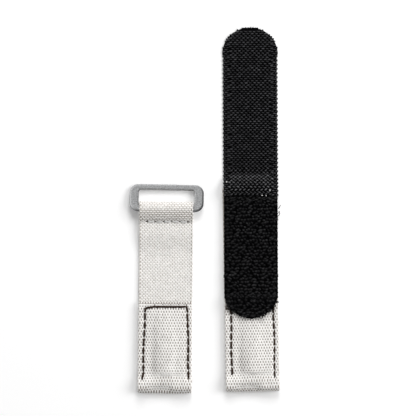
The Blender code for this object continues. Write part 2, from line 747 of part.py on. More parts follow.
def make_long_half(frame, tape_frame, webbing_material, tape_material, brown_thread,
                   black_thread):
    stations = lug_fold(LOOP_TAPE_START - LAYER_GAP) + [(WEBBING_END, LOWER_LAYER, 0.0)]
    webbing = make_strip("long_webbing", stations, webbing_material, frame)
    leg_end = FLAP_LENGTH - LONG_LEG_END_INSET
    for side, x in (("left", -LEG_X), ("right", LEG_X)):
        runs = [leg_run(x, LEG_START, leg_end)]
        cut_needle_groove(webbing, f"long_lug_{side}_groove", runs, flap_top, LUG_THREAD,
                          LUG_THREAD_DIP, frame)
        cut_bobbin_groove(webbing, f"long_lug_{side}_back_groove", runs, frame)
        make_needle_thread(f"long_lug_{side}_needle_thread", runs, flap_top, LUG_THREAD,
                           LUG_THREAD_DIP, brown_thread, frame)
        make_bobbin_thread(f"long_lug_{side}_bobbin_thread", runs, brown_thread, frame)
    loop_tape = make_loop_tape(tape_material, tape_frame)
    seam_runs = tape_seam_runs()
    cut_needle_groove(loop_tape, "tape_seam_groove", seam_runs, loop_tape_top, SEAM_THREAD,
                      SEAM_THREAD_DIP, tape_frame)
    cut_bobbin_groove(webbing, "tape_seam_back_groove", seam_runs, tape_frame)
    make_needle_thread("tape_seam_needle_thread", seam_runs, loop_tape_top, SEAM_THREAD,
                       SEAM_THREAD_DIP, black_thread, tape_frame)
    make_bobbin_thread("tape_seam_bobbin_thread", seam_runs, black_thread, tape_frame)
    overlap_runs = [cross_run(TAPE_HALF_WIDTH - OVERLAP_SEAM_INSET,
                              HOOK_TAPE_START + TAPE_OVERLAP / 2)]
    cut_bobbin_groove(webbing, "overlap_seam_back_groove", overlap_runs, tape_frame)
    make_needle_thread("overlap_seam_needle_thread", overlap_runs, overlap_surface, SEAM_THREAD,
                       SEAM_THREAD_DIP, black_thread, tape_frame)
    make_bobbin_thread("overlap_seam_bobbin_thread", overlap_runs, black_thread, tape_frame)


def centre_on_origin(root):
    """Move the strap so that the middle of its underside is the origin."""
    bpy.context.view_layer.update()
    corners = []
    for item in bpy.data.objects:
        if item.type == "MESH" and not item.hide_render:
            corners += [item.matrix_world @ vertex.co for vertex in item.data.vertices]
    middle_x = (min(c.x for c in corners) + max(c.x for c in corners)) / 2
    middle_y = (min(c.y for c in corners) + max(c.y for c in corners)) / 2
    root.location = (-middle_x, -middle_y, 0.0)
    bpy.context.view_layer.update()


def main():
    clear_scene()
    webbing = make_material("off_white_webbing", (0.73, 0.71, 0.69), 0.85)
    tape = make_material("black_nylon_tape", (0.012, 0.012, 0.013), 0.7)
    steel = make_material("brushed_steel", (0.46, 0.46, 0.47), 0.35, 1.0)
    brown_thread = make_material("brown_thread", (0.03, 0.021, 0.016), 0.6)
    white_thread = make_material("off_white_thread", (0.68, 0.66, 0.63), 0.7)
    black_thread = make_material("black_thread", (0.012, 0.012, 0.013), 0.6)
    strap = make_empty("strap_origin")
    short_frame = make_empty("short_lug_end", strap, (-LUG_SPACING / 2, 0.0, 0.0),
                             (0.0, 0.0, SHORT_LEAN))
    long_frame = make_empty("long_lug_end", strap, (LUG_SPACING / 2, 0.0, 0.0),
                            (0.0, 0.0, LONG_LEAN))
    tape_frame = make_empty("tape_line", strap, (LUG_SPACING / 2 - TAPE_SHIFT, 0.0, 0.0),
                            (0.0, 0.0, TAPE_LEAN))
    ring_axis = make_empty("ring_axis", short_frame, (RING_SHIFT, RING_BAR_Y, RING_FOLD_RADIUS),
                           (-ring_tilt(), 0.0, RING_LEAN - SHORT_LEAN))
    fold_axis = make_empty("fold_axis", tape_frame, (0.0, FOLD_Y, FOLD_Z))
    make_short_half(short_frame, webbing, brown_thread, white_thread)
    make_ring(steel, ring_axis)
    make_long_half(long_frame, tape_frame, webbing, tape, brown_thread, black_thread)
    make_hook_tapes(tape, tape_frame, fold_axis)
    centre_on_origin(strap)
    for axis in (ring_axis, fold_axis):
        place = axis.matrix_world.translation
        turn = axis.matrix_world.to_3x3() @ Vector((1.0, 0.0, 0.0))
        print(axis.name, [round(v, 6) for v in place], [round(v, 6) for v in turn])


main()
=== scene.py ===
"""Looks of the hook and loop watch strap: woven webbing, sewing, steel ring and tapes.

It is laid out like an add-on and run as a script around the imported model. Each cloth
piece is a strip that follows a path: x runs across it and t along its path. Two node
trees dress the strips: one places yarns, hooks and loops, the other sews the seams.
"""

import json
import math

import bmesh
import bpy
import numpy as np
from bpy.props import FloatProperty, FloatVectorProperty, IntProperty, PointerProperty
from mathutils import Matrix, Vector


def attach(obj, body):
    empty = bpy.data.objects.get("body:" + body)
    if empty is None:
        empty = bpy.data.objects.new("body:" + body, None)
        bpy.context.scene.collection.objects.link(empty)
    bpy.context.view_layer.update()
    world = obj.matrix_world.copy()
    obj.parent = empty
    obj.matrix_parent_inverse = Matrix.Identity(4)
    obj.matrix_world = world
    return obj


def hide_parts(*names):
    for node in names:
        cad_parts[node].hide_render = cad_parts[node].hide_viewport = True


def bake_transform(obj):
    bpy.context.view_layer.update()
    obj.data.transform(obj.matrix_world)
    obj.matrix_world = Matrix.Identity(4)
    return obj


bl_info = {
    "name": "Hook and loop watch strap",
    "version": (1, 0, 0),
    "blender": (4, 5, 0),
    "location": "3D View > Sidebar > Watch Strap",
    "description": "Builds a two-piece watch strap of webbing with a hook and loop fastening",
    "category": "Object",
}

MM = 0.001
# A strip's map is in units of 200 mm, with the middle of each face at one of two places
MAP_SCALE = 5.0
OUTER_MAP = 0.1
INNER_MAP = 0.3
# A path's step and smoothing, the rounding of cut ends, how far to each side a seam draws
# cloth down, and the shade below which nothing is placed on it
PATH_STEP = 0.05 * MM
PATH_SMOOTHING = 0.25 * MM
END_ROUND = 0.3 * MM
SEAM_REACH = 0.55 * MM
DARKEST_COVERED = 0.25

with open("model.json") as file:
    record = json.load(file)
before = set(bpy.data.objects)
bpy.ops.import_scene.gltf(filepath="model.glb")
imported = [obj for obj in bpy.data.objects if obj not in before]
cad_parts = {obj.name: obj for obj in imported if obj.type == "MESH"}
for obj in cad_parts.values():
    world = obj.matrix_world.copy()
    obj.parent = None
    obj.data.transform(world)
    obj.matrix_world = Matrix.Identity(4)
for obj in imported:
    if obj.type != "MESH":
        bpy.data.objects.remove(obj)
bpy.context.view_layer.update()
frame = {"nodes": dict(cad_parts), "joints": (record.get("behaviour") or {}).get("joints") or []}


# Sizes and colours
def length(name, description, millimetres):
    """A size in metres, given in millimetres."""
    return FloatProperty(name=name, description=description, default=millimetres * MM,
                         precision=5, subtype="DISTANCE", unit="LENGTH")


def turn(name, description, degrees):
    """An angle in radians, given in degrees."""
    return FloatProperty(name=name, description=description, default=math.radians(degrees),
                         subtype="ANGLE", unit="ROTATION")


def linear(hex_colour):
    """The linear colour of an sRGB hex value."""
    channels = [int(hex_colour[i:i + 2], 16) / 255 for i in (1, 3, 5)]
    return [c / 12.92 if c <= 0.04045 else ((c + 0.055) / 1.055) ** 2.4 for c in channels]


def colour(name, description, hex_colour):
    """A colour, given as an sRGB hex value."""
    return FloatVectorProperty(name=name, description=description, size=3, subtype="COLOR",
                               default=linear(hex_colour), min=0.0, max=1.0)


class StrapLayoutSettings(bpy.types.PropertyGroup):
    """How the pieces lie, and the sizes that cloth, ring and sewing share"""

    short_lean: turn("Short half lean", "Turn of the short half on the table", -0.53)
    long_lean: turn("Long half lean", "Turn of the long half on the table", 1.0)
    tape_lean: turn("Tape lean", "Turn of the tapes on the table", 0.27)
    ring_lean: turn("Ring lean", "Turn of the ring on the table", -1.1)
    short_length: length("Short webbing length", "From the lug fold to the ring fold", 71.55)
    width: length("Strap width", "Width of the webbing and the tapes", 20.0)
    thickness: length("Webbing thickness", "Over the yarns on both faces", 1.05)
    layer_gap: length("Layer gap", "Room between two sewn layers", 0.3)
    stand: length("Stand", "Height of the lowest cloth over the table", 0.16)
    long_start: length("Long half start", "How much shorter the long half is", 0.6)
    flap: length("Flap length", "From the lug fold to the flap's cut edge", 34.0)
    leg_top: length("Leg at the top", "From the middle to the brown seam, at its top", 7.95)
    leg_flare: length("Leg flare", "How much further out the seam is at the lug fold", 0.6)
    leg_start: length("Leg start", "From the lug fold to the seam's first stitch", 5.15)
    seam_shift: length("Seam shift", "How far right the short half's brown seam lies", 0.4)
    leg_end: length("Leg end", "From the lug fold to the straight seam's last hole", 30.15)
    top_seam: length("Top seam", "From the lug fold to the seam across the flap", 32.5)
    ring_seam: length("Ring seam", "From the lug fold to the seam below the ring", 64.2)
    loop_start: length("Loop tape start", "From the lug fold to the loop tape", 28.1)
    hook_start: length("Hook tape start", "From the lug fold to the hook tape", 73.1)
    hook_end: length("Hook tape end", "From the lug fold to the hook tape's tip", 136.5)


class StrapWebbingSettings(bpy.types.PropertyGroup):
    """Webbing: its folds, puffed flap and weave"""

    lug_radius: length("Lug tunnel radius", "Bore of the spring bar's tunnel", 1.0)
    lug_neck: length("Lug neck", "Stretch over which the flap comes down", 5.0)
    tail: length("Tail length", "Webbing folded back behind the ring's seam", 11.0)
    tail_rise: length("Tail rise", "Stretch over which the front climbs the tail", 9.0)
    ring_radius: length("Ring tunnel radius", "Bore of the fold round the ring", 1.5026)
    puff: length("Puff", "Height of the flap's crown between its seams", 2.05)
    crease: length("Crease", "From the lug fold's end to its upper crease", 1.5)
    ring_slope: turn("Ring slope", "Slope of the cloth where it reaches the ring", 17.0)
    bow: length("Bow", "How far the middle of the lug fold stands out", 0.25)
    press: length("Press", "How far the middle of the upper crease is pressed in", 0.9)
    seam_dip: length("Seam dip", "How far a seam draws the cloth down", 0.24)
    yarn_rise: length("Yarn rise", "Height of a yarn over its ground", 0.15)
    flap_pitch: length("Flap yarn pitch", "Across the flap, between two floats", 0.99)
    flap_pick: length("Flap pick", "Along the flap, between two rows of floats", 1.045)
    front_pitch: length("Front yarn pitch", "Across the front, between two floats", 1.25)
    front_pick: length("Front pick", "Along the front, between two rows of floats", 0.67)
    yarn: colour("Yarn", "Off-white yarn on the crown of a float", "#F3F1EE")
    # The gap colour is painted shade: the yarn low on each float and between floats
    gap: colour("Gap", "The same yarn deep between two floats", "#C0B9B2")
    # The hole colour is painted shade in needle holes, mixed in part into the gaps of some
    # stretches
    hole: colour("Hole", "Where a seam pulls the yarns apart", "#4A4038")
    # The fold colour is painted shade on the lug fold's under-curve
    fold_shade: colour("Fold shade", "Yarn darkened by handling, at the lug fold", "#6C5644")


class StrapThreadSettings(bpy.types.PropertyGroup):
    """Sewing threads"""

    stitch: length("Stitch length", "Between two holes", 3.05)
    lug_thread: length("Lug thread", "Diameter of the brown thread", 0.76)
    seam_thread: length("Seam thread", "Diameter of the white and black threads", 0.55)
    ply_turn: length("Ply turn", "Length of one turn of the plies", 1.5)
    brown: colour("Brown", "Thread of the lug seams", "#33251C")
    white: colour("White", "Thread of the ring's seam", "#F2EFEA")
    black: colour("Black", "Thread of the tapes' seams", "#0A0A0B")


class StrapRingSettings(bpy.types.PropertyGroup):
    """Flat steel ring"""

    bar: length("Bar", "Width of the long bars", 2.05)
    side_bar: length("Side bar", "Width of the short bars", 3.4)
    side_play: length("Side play", "Room beside the webbing", 0.45)
    spacing: length("Bar spacing", "From the swivel axis to the far bar", 8.25)
    depth: length("Thickness", "Thickness of the plate", 1.7)
    edge: length("Edge round", "Rounding of the outer edges", 0.66)
    inner_edge: length("Inner edge round", "Rounding of the opening's edges", 0.35)
    outer_corner: length("Outer corner", "Radius of the outer corners", 3.3)
    inner_corner: length("Inner corner", "Radius of the opening's corners", 0.9)
    steel: colour("Steel", "Satin steel", "#BFC0C1")
    # The side colour is painted shade on the plate's sides
    side_shade: colour("Side shade", "Steel on the sides that were cut", "#5E5E60")


class StrapTapeSettings(bpy.types.PropertyGroup):
    """Hook tape and loop tape"""

    backing: length("Backing", "Thickness of the hook tape's cloth", 0.5)
    rib: length("Rib", "Height of the yarns on the tapes' cloth", 0.12)
    hook_height: length("Hook height", "From the backing to a hook's crown", 1.4)
    hook_pitch: length("Hook pitch", "Across the tape, between two hooks", 1.595)
    hook_row: length("Hook row", "Along the tape, between two rows", 0.797)
    hook_field: length("Hook field", "Half the width that carries hooks", 8.0)
    hook_slant: turn("Hook slant", "Turn of a hook, left and right by rows", 7.0)
    bent_slant: turn("Slant on the bend", "The same where the tape bends", 33.0)
    ramp: length("Ramp", "Stretch over which the tape comes down", 6.4)
    overlap: length("Overlap", "How far the hook tape lies on the loop tape", 3.6)
    loop_cloth: length("Loop cloth", "Thickness of the loop tape's ground", 0.7)
    loop_round: length("Loop tape round", "Length of its round end", 9.3)
    loop_row: length("Loop row", "Between two ridges of loops", 1.3)
    black: colour("Black", "Dyed nylon, deep between hooks and loops", "#050506")
    # The crown colours are painted highlights on the bends of hooks and the tops of loops
    hook_highlight: colour("Hook crown", "Nylon where a hook bends over", "#4D4D50")
    bend_glint: colour("Glint on the bend", "Nylon of the hooks on the bend", "#6E6E71")
    loop_highlight: colour("Loop crown", "Nylon on the top of a pile loop", "#373738")
    # The colour of pale specks laid on the hooks
    lint: colour("Lint", "Specks and loose fibres caught by the hooks", "#C9C8C6")
    seed: IntProperty(name="Seed", description="Start of the scatter", default=7)


class StrapStageSettings(bpy.types.PropertyGroup):
    """Floor, light and camera"""

    lens: FloatProperty(name="Lens", description="Focal length of the camera in mm",
                        default=200.0, min=20.0)
    view_width: length("View width", "Width of the table in the picture", 155.22)
    view_x: length("View centre across", "Middle of the picture, across", 1.175)
    view_y: length("View centre along", "Middle of the picture, along", 0.933)
    surround: FloatProperty(name="Surround", description="Strength of the even light",
                            default=0.36, min=0.0)
    upper_lamp: FloatProperty(name="Upper lamp", description="Power in W", default=7.4, min=0.0)
    right_lamp: FloatProperty(name="Right lamp", description="Power in W", default=9.9, min=0.0)
    glow: FloatProperty(name="Paper glow", description="Share of plain white in the paper",
                        default=0.08, min=0.0, max=1.0)
    paper: colour("Paper", "Floor and backdrop", "#FFFFFF")


SETTINGS = {
    "strap_layout": StrapLayoutSettings,
    "strap_webbing": StrapWebbingSettings,
    "strap_thread": StrapThreadSettings,
    "strap_ring": StrapRingSettings,
    "strap_tape": StrapTapeSettings,
    "strap_stage": StrapStageSettings,
}


# Node trees
def add(tree, kind, inputs=(), output=0, **options):
    """Add a node, set its options, fill or link its inputs, given in order or by name, and
    return one of its outputs."""
    node = tree.nodes.new(kind)
    for name, value in options.items():
        setattr(node, name, value)
    for key, value in inputs.items() if isinstance(inputs, dict) else enumerate(inputs):
        socket = node.inputs[key]
        if isinstance(value, bpy.types.NodeSocket):
            tree.links.new(value, socket)
        else:
            socket.default_value = value
    return node.outputs[output] if node.outputs else None


def new_tree(name, sockets):
    """A geometry node tree and the outputs of its input node. Each socket has a name and
    a default, or the kind of thing that it takes."""
    tree = bpy.data.node_groups.new(name, "GeometryNodeTree")
    tree.interface.new_socket("Geometry", in_out="OUTPUT", socket_type="NodeSocketGeometry")
    tree.interface.new_socket("Geometry", in_out="INPUT", socket_type="NodeSocketGeometry")
    kinds = {float: "NodeSocketFloat", int: "NodeSocketInt", tuple: "NodeSocketVector"}
    for label, value in sockets.items():
        kind = kinds.get(type(value))
        socket = tree.interface.new_socket(label, in_out="INPUT", socket_type=kind or value)
        if kind:
            socket.default_value = value
    return tree, tree.nodes.new("NodeGroupInput").outputs


def run_tree(base, tree, values):
    """The plain mesh that a tree makes of an object. The modifier is then removed."""
    modifier = base.modifiers.new(tree.name, "NODES")
    modifier.node_group = tree
    for item in tree.interface.items_tree:
        if item.in_out == "INPUT" and item.name in values:
            modifier[item.identifier] = values[item.name]
    base.update_tag()
    graph = bpy.context.evaluated_depsgraph_get()
    mesh = bpy.data.meshes.new_from_object(base.evaluated_get(graph), depsgraph=graph)
    base.modifiers.remove(modifier)
    return mesh


def cover_tree():
    """Places a shape in staggered rows on one face of a strip, found through its map."""
    tree, given = new_tree("Cover a strip", {
        "Strip": "NodeSocketObject", "Shape": "NodeSocketObject",
        "Material": "NodeSocketMaterial", "Map middle": OUTER_MAP, "From": 0.0,
        "To": 10 * MM, "Middle": 0.0, "Reach": 10 * MM, "Across pitch": 1 * MM,
        "Along pitch": 1 * MM, "Size": (1.0, 1.0, 1.0), "Slant": 0.0, "Place jitter": 0.0,
        "Turn jitter": 0.0, "Size jitter": 0.0, "Wave height": 0.0, "Wave length": 5 * MM,
        "Least flat": -1.0, "Seed": 1})
    sums, chance, vectors = "ShaderNodeMath", "FunctionNodeRandomValue", "ShaderNodeVectorMath"
    seed = given["Seed"]

    # Row and column of each point, the odd rows moved by half a pitch
    width = add(tree, sums, (given["Reach"], given["Across pitch"]), operation="DIVIDE")
    width = add(tree, sums, (width, 2.0, 4.0), operation="MULTIPLY_ADD")
    columns = add(tree, sums, (width,), operation="FLOOR")
    rows = add(tree, sums, (given["To"], given["From"]), operation="SUBTRACT")
    rows = add(tree, sums, (rows, given["Along pitch"]), operation="DIVIDE")
    rows = add(tree, sums, (rows,), operation="CEIL")
    count = add(tree, sums, (rows, columns), operation="MULTIPLY")
    points = add(tree, "GeometryNodePoints", {"Count": count})
    index = add(tree, "GeometryNodeInputIndex")
    row = add(tree, sums, (index, 0.5))
    row = add(tree, sums, (row, columns), operation="DIVIDE")
    row = add(tree, sums, (row,), operation="FLOOR")
    column = add(tree, sums, (row, columns), operation="MULTIPLY")
    column = add(tree, sums, (index, column), operation="SUBTRACT")
    half = add(tree, sums, (columns, 0.5), operation="MULTIPLY")
    half = add(tree, sums, (half,), operation="FLOOR")
    column = add(tree, sums, (column, half), operation="SUBTRACT")
    odd = add(tree, sums, (row, 2.0), operation="MODULO")
    column = add(tree, sums, (odd, 0.5, column), operation="MULTIPLY_ADD")

    # Place on the strip's map, with scatter and waves
    scatter = add(tree, chance, {0: (-1.0, -1.0, -1.0), 1: (1.0, 1.0, 1.0), "Seed": seed},
                  data_type="FLOAT_VECTOR")
    scatter = add(tree, vectors, {0: scatter, "Scale": given["Place jitter"]},
                  operation="SCALE")
    off = add(tree, "ShaderNodeSeparateXYZ", (scatter,)).node.outputs
    across = add(tree, sums, (column, given["Across pitch"], off["X"]),
                 operation="MULTIPLY_ADD")
    along = add(tree, sums, (row, given["Along pitch"], off["Y"]), operation="MULTIPLY_ADD")
    phase = add(tree, chance, {2: 0.0, 3: 2 * math.pi, "ID": row, "Seed": seed}, 1)
    wave = add(tree, sums, (across, given["Wave length"]), operation="DIVIDE")
    wave = add(tree, sums, (wave, 2 * math.pi, phase), operation="MULTIPLY_ADD")
    wave = add(tree, sums, (wave,), operation="SINE")
    along = add(tree, sums, (wave, given["Wave height"], along), operation="MULTIPLY_ADD")
    along = add(tree, sums, (along, given["From"]))
    inside = add(tree, sums, (across,), operation="ABSOLUTE")
    inside = add(tree, "FunctionNodeCompare", {"A": inside, "B": given["Reach"]},
                 operation="LESS_EQUAL")
    map_x = add(tree, sums, (across, given["Middle"]))
    map_x = add(tree, sums, (map_x, MAP_SCALE, given["Map middle"]), operation="MULTIPLY_ADD")
    map_y = add(tree, sums, (along, MAP_SCALE), operation="MULTIPLY")
    place = add(tree, "ShaderNodeCombineXYZ", {"X": map_x, "Y": map_y})

    # What the strip is like there
    strip = add(tree, "GeometryNodeObjectInfo", {"Object": given["Strip"]}, "Geometry")
    chart = add(tree, "GeometryNodeInputNamedAttribute", {"Name": "UVMap"},
                data_type="FLOAT_VECTOR")
    tangent = add(tree, "GeometryNodeInputNamedAttribute", {"Name": "along"},
                  data_type="FLOAT_VECTOR")
    spot = {"Mesh": strip, "UV Map": chart, "Sample UV": place}
    position, normal, tangent = [
        add(tree, "GeometryNodeSampleUVSurface", {**spot, "Value": field},
            data_type="FLOAT_VECTOR")
        for field in (add(tree, "GeometryNodeInputPosition"),
                      add(tree, "GeometryNodeInputNormal"), tangent)]
    numbers = [add(tree, "GeometryNodeInputNamedAttribute", {"Name": name})
               for name in ("shade", "wear", "flat")]
    shade, wear, flat = [add(tree, "GeometryNodeSampleUVSurface", {**spot, "Value": field})
                         for field in numbers]
    # Needle holes stay bare and, where asked, edges too
    solid = add(tree, "FunctionNodeCompare", {"A": shade, "B": DARKEST_COVERED},
                operation="GREATER_THAN")
    level = add(tree, "FunctionNodeCompare", {"A": flat, "B": given["Least flat"]},
                operation="GREATER_THAN")
    solid = add(tree, "FunctionNodeBooleanMath", (solid, level))
    chosen = add(tree, "FunctionNodeBooleanMath", (inside, position.node.outputs["Is Valid"]))
    chosen = add(tree, "FunctionNodeBooleanMath", (chosen, solid))
    points = add(tree, "GeometryNodeSetPosition", {"Geometry": points, "Position": position})

    # Turn and size of each copy
    upright = add(tree, "FunctionNodeAlignRotationToVector", {"Vector": normal}, axis="Z")
    upright = add(tree, "FunctionNodeAlignRotationToVector",
                  {"Rotation": upright, "Vector": tangent}, axis="Y", pivot_axis="Z")
    side = add(tree, sums, (odd, 2.0, -1.0), operation="MULTIPLY_ADD")
    yaw = add(tree, chance, {2: -1.0, 3: 1.0, "Seed": seed}, 1)
    yaw = add(tree, sums, (yaw, given["Turn jitter"]), operation="MULTIPLY")
    yaw = add(tree, sums, (side, given["Slant"], yaw), operation="MULTIPLY_ADD")
    yaw = add(tree, "FunctionNodeAxisAngleToRotation", {"Axis": (0.0, 0.0, 1.0), "Angle": yaw})
    rotation = add(tree, "FunctionNodeRotateRotation",
                   {"Rotation": upright, "Rotate By": yaw}, rotation_space="LOCAL")
    growth = add(tree, chance, {2: -1.0, 3: 1.0, "ID": index, "Seed": seed}, 1)
    growth = add(tree, sums, (growth, given["Size jitter"], 1.0), operation="MULTIPLY_ADD")
    size = add(tree, vectors, {0: given["Size"], "Scale": growth}, operation="SCALE")
    shape = add(tree, "GeometryNodeObjectInfo", {"Object": given["Shape"]}, "Geometry")
    copies = add(tree, "GeometryNodeInstanceOnPoints",
                 {"Points": points, "Selection": chosen, "Instance": shape,
                  "Rotation": rotation, "Scale": size})
    tone = add(tree, chance, {2: 0.0, 3: 1.0, "Seed": seed}, 1)
    # Each copy keeps a random tone and the painted fold shade found under it
    for name, value in (("tone", tone), ("wear", wear)):
        copies = add(tree, "GeometryNodeStoreNamedAttribute",
                     {"Geometry": copies, "Name": name, "Value": value}, domain="INSTANCE")
    copies = add(tree, "GeometryNodeRealizeInstances", {"Geometry": copies})
    copies = add(tree, "GeometryNodeSetMaterial",
                 {"Geometry": copies, "Material": given["Material"]})
    add(tree, "NodeGroupOutput", {"Geometry": copies})
    return tree


def thread_tree():
    """Sews a twisted thread along a line: over the cloth, and down at each hole."""
    tree, given = new_tree("Sew along a line", {
        "Stitch": 3 * MM, "Diameter": 0.6 * MM, "Rise": 0.1 * MM, "Dip": 0.5 * MM,
        "Fullness": 8.0, "Taper": 0.35, "Ply turn": 1.5 * MM, "Ply depth": 0.13, "Plies": 3,
        "Sides": 12, "Step": 0.15 * MM, "Material": "NodeSocketMaterial"})
    sums, vectors = "ShaderNodeMath", "ShaderNodeVectorMath"
    line = add(tree, "GeometryNodeMeshToCurve", (given["Geometry"],))
    line = add(tree, "GeometryNodeResampleCurve", {"Curve": line, "Length": given["Step"]},
               mode="LENGTH")
    run = add(tree, "GeometryNodeSplineParameter", output="Length")
    phase = add(tree, sums, (run, given["Stitch"]), operation="DIVIDE")
    phase = add(tree, sums, (phase,), operation="FRACT")
    phase = add(tree, sums, (phase, 2.0, -1.0), operation="MULTIPLY_ADD")
    phase = add(tree, sums, (phase,), operation="ABSOLUTE")
    drop = add(tree, sums, (phase, given["Fullness"]), operation="POWER")
    fall = add(tree, sums, (given["Rise"], given["Dip"]))
    fall = add(tree, sums, (drop, fall), operation="MULTIPLY")
    height = add(tree, sums, (given["Rise"], fall), operation="SUBTRACT")
    up = add(tree, "GeometryNodeInputNamedAttribute", {"Name": "up"}, data_type="FLOAT_VECTOR")
    offset = add(tree, vectors, {0: up, "Scale": height}, operation="SCALE")
    line = add(tree, "GeometryNodeSetPosition", {"Geometry": line, "Offset": offset})
    narrow = add(tree, sums, (phase, 2.0), operation="POWER")
    narrow = add(tree, sums, (narrow, given["Taper"]), operation="MULTIPLY")
    narrow = add(tree, sums, (1.0, narrow), operation="SUBTRACT")
    line = add(tree, "GeometryNodeSetCurveRadius", {"Curve": line, "Radius": narrow})
    tilt = add(tree, sums, (run, given["Ply turn"]), operation="DIVIDE")
    tilt = add(tree, sums, (tilt, 2 * math.pi), operation="MULTIPLY")
    line = add(tree, "GeometryNodeSetCurveTilt", {"Curve": line, "Tilt": tilt})
    radius = add(tree, sums, (given["Diameter"], 0.5), operation="MULTIPLY")
    profile = add(tree, "GeometryNodeCurvePrimitiveCircle",
                  {"Resolution": given["Sides"], "Radius": radius}, mode="RADIUS")
    lobe = add(tree, sums, (add(tree, "GeometryNodeInputIndex"), given["Sides"]),
               operation="DIVIDE")
    lobe = add(tree, sums, (lobe, given["Plies"]), operation="MULTIPLY")
    lobe = add(tree, sums, (lobe, 2 * math.pi), operation="MULTIPLY")
    lobe = add(tree, sums, (lobe,), operation="COSINE")
    lobe = add(tree, sums, (lobe, given["Ply depth"], 1.0), operation="MULTIPLY_ADD")
    lobed = add(tree, vectors, {0: add(tree, "GeometryNodeInputPosition"), "Scale": lobe},
                operation="SCALE")
    profile = add(tree, "GeometryNodeSetPosition", {"Geometry": profile, "Position": lobed})
    thread = add(tree, "GeometryNodeCurveToMesh",
                 {"Curve": line, "Profile Curve": profile, "Fill Caps": True})
    thread = add(tree, "GeometryNodeSetShadeSmooth", {"Geometry": thread})
    thread = add(tree, "GeometryNodeRealizeInstances", {"Geometry": thread})
    thread = add(tree, "GeometryNodeSetMaterial",
                 {"Geometry": thread, "Material": given["Material"]})
    add(tree, "NodeGroupOutput", {"Geometry": thread})
    return tree


# Meshes
def new_object(name, mesh):
    """An object of a mesh, in the scene."""
    strap_piece = bpy.data.objects.new(name, mesh)
    bpy.context.scene.collection.objects.link(strap_piece)
    return strap_piece


def turn_outwards(mesh):
    """Turn a mesh's faces outwards and shade it smooth."""
    bm = bmesh.new()
    bm.from_mesh(mesh)
    bmesh.ops.recalc_face_normals(bm, faces=bm.faces)
    bm.to_mesh(mesh)
    bm.free()
    mesh.shade_smooth()


def mesh_of(name, vertices, faces):
    """A mesh whose faces point outwards."""
    mesh = bpy.data.meshes.new(name)
    mesh.from_pydata([tuple(v) for v in vertices], [], [tuple(f) for f in faces])
    turn_outwards(mesh)
    return mesh


def bands(rounds, around, closed=False):
    """The faces between one round of points and the next, and back to the first if closed."""
    return [(i * around + k, i * around + (k + 1) % around,
             (i + 1) % rounds * around + (k + 1) % around, (i + 1) % rounds * around + k)
            for i in range(rounds if closed else rounds - 1) for k in range(around)]


def store(mesh, name, values):
    """Keep numbers or vectors on a mesh's points."""
    values = np.asarray(values, np.float32)
    kind, key = ("FLOAT", "value") if values.ndim == 1 else ("FLOAT_VECTOR", "vector")
    attribute = mesh.attributes.new(name, kind, "POINT")
    attribute.data.foreach_set(key, values.ravel())


def join(name, pieces):
    """One object of several, in the place of the first."""
    with bpy.context.temp_override(active_object=pieces[0], selected_editable_objects=pieces):
        if len(pieces) > 1:
            bpy.ops.object.join()
    pieces[0].name = name
    return pieces[0]


def smoothstep(value, start, end):
    """A smooth share, 0 up to one value and 1 past another."""
    share = np.clip((np.asarray(value) - start) / (end - start), 0, 1)
    return share * share * (3 - 2 * share)


# Cloth strips
def line(start, end):
    """Points of a straight run in the y-z plane."""
    share = np.linspace(0, 1, max(2, math.ceil(math.dist(start, end) / PATH_STEP)))[:, None]
    return np.array(start) * (1 - share) + np.array(end) * share


def ease(start, end):
    """Points of a run that leaves one level and settles on another."""
    points = line(start, end)
    share = np.linspace(0, 1, len(points))
    points[:, 1] = start[1] + (end[1] - start[1]) * share ** 2 * (3 - 2 * share)
    return points


def arc(centre, radius, start, swing):
    """Points of an arc in the y-z plane, in degrees from the y direction."""
    steps = max(8, math.ceil(radius * math.radians(abs(swing)) / PATH_STEP))
    angles = np.radians(np.linspace(start, start + swing, steps))
    return np.stack([centre[0] + radius * np.cos(angles),
                     centre[1] + radius * np.sin(angles)], 1)


class ClothPath:
    """The middle line of a strip, smoothed, by the distance t along it."""

    def __init__(self, runs):
        points = np.concatenate(runs)
        steps = np.hypot(*np.diff(points, axis=0).T)
        points = points[np.concatenate([[True], steps > 1e-9])]
        reach = np.concatenate([[0], np.cumsum(np.hypot(*np.diff(points, axis=0).T))])
        even = np.arange(0, reach[-1], PATH_STEP)
        points = np.stack([np.interp(even, reach, points[:, i]) for i in (0, 1)], 1)
        span = round(3 * PATH_SMOOTHING / PATH_STEP)
        bell = np.exp(-0.5 * (np.arange(-span, span + 1) * PATH_STEP / PATH_SMOOTHING) ** 2)
        before = 2 * points[0] - points[span:0:-1]
        after = 2 * points[-1] - points[-2:-span - 2:-1]
        padded = np.concatenate([before, points, after])
        self.points = np.stack([np.convolve(padded[:, i], bell / bell.sum(), "valid")
                                for i in (0, 1)], 1)
        steps = np.hypot(*np.diff(self.points, axis=0).T)
        self.t = np.concatenate([[0], np.cumsum(steps)])
        self.length = self.t[-1]
        heading = np.gradient(self.points, self.t, axis=0)
        self.heading = heading / np.hypot(*heading.T)[:, None]
        self.turn = float(self.t[np.argmin(self.points[:, 0])])

    def sample(self, values, t):
        """Pairs kept along the path, read at t."""
        return np.stack([np.interp(t, self.t, values[:, i]) for i in (0, 1)], -1)

    def t_at(self, y, after=0.0):
        """The first t past a given one at which the path comes by y."""
        away = self.points[:, 0] - y
        crossings = np.nonzero((away[:-1] * away[1:] <= 0) & (self.t[:-1] >= after))[0]
        if not len(crossings):
            raise ValueError(f"the path never comes by y = {y / MM:.2f} mm")
        first = crossings[0]
        share = away[first] / (away[first] - away[first + 1])
        return float(self.t[first] + share * (self.t[first + 1] - self.t[first]))


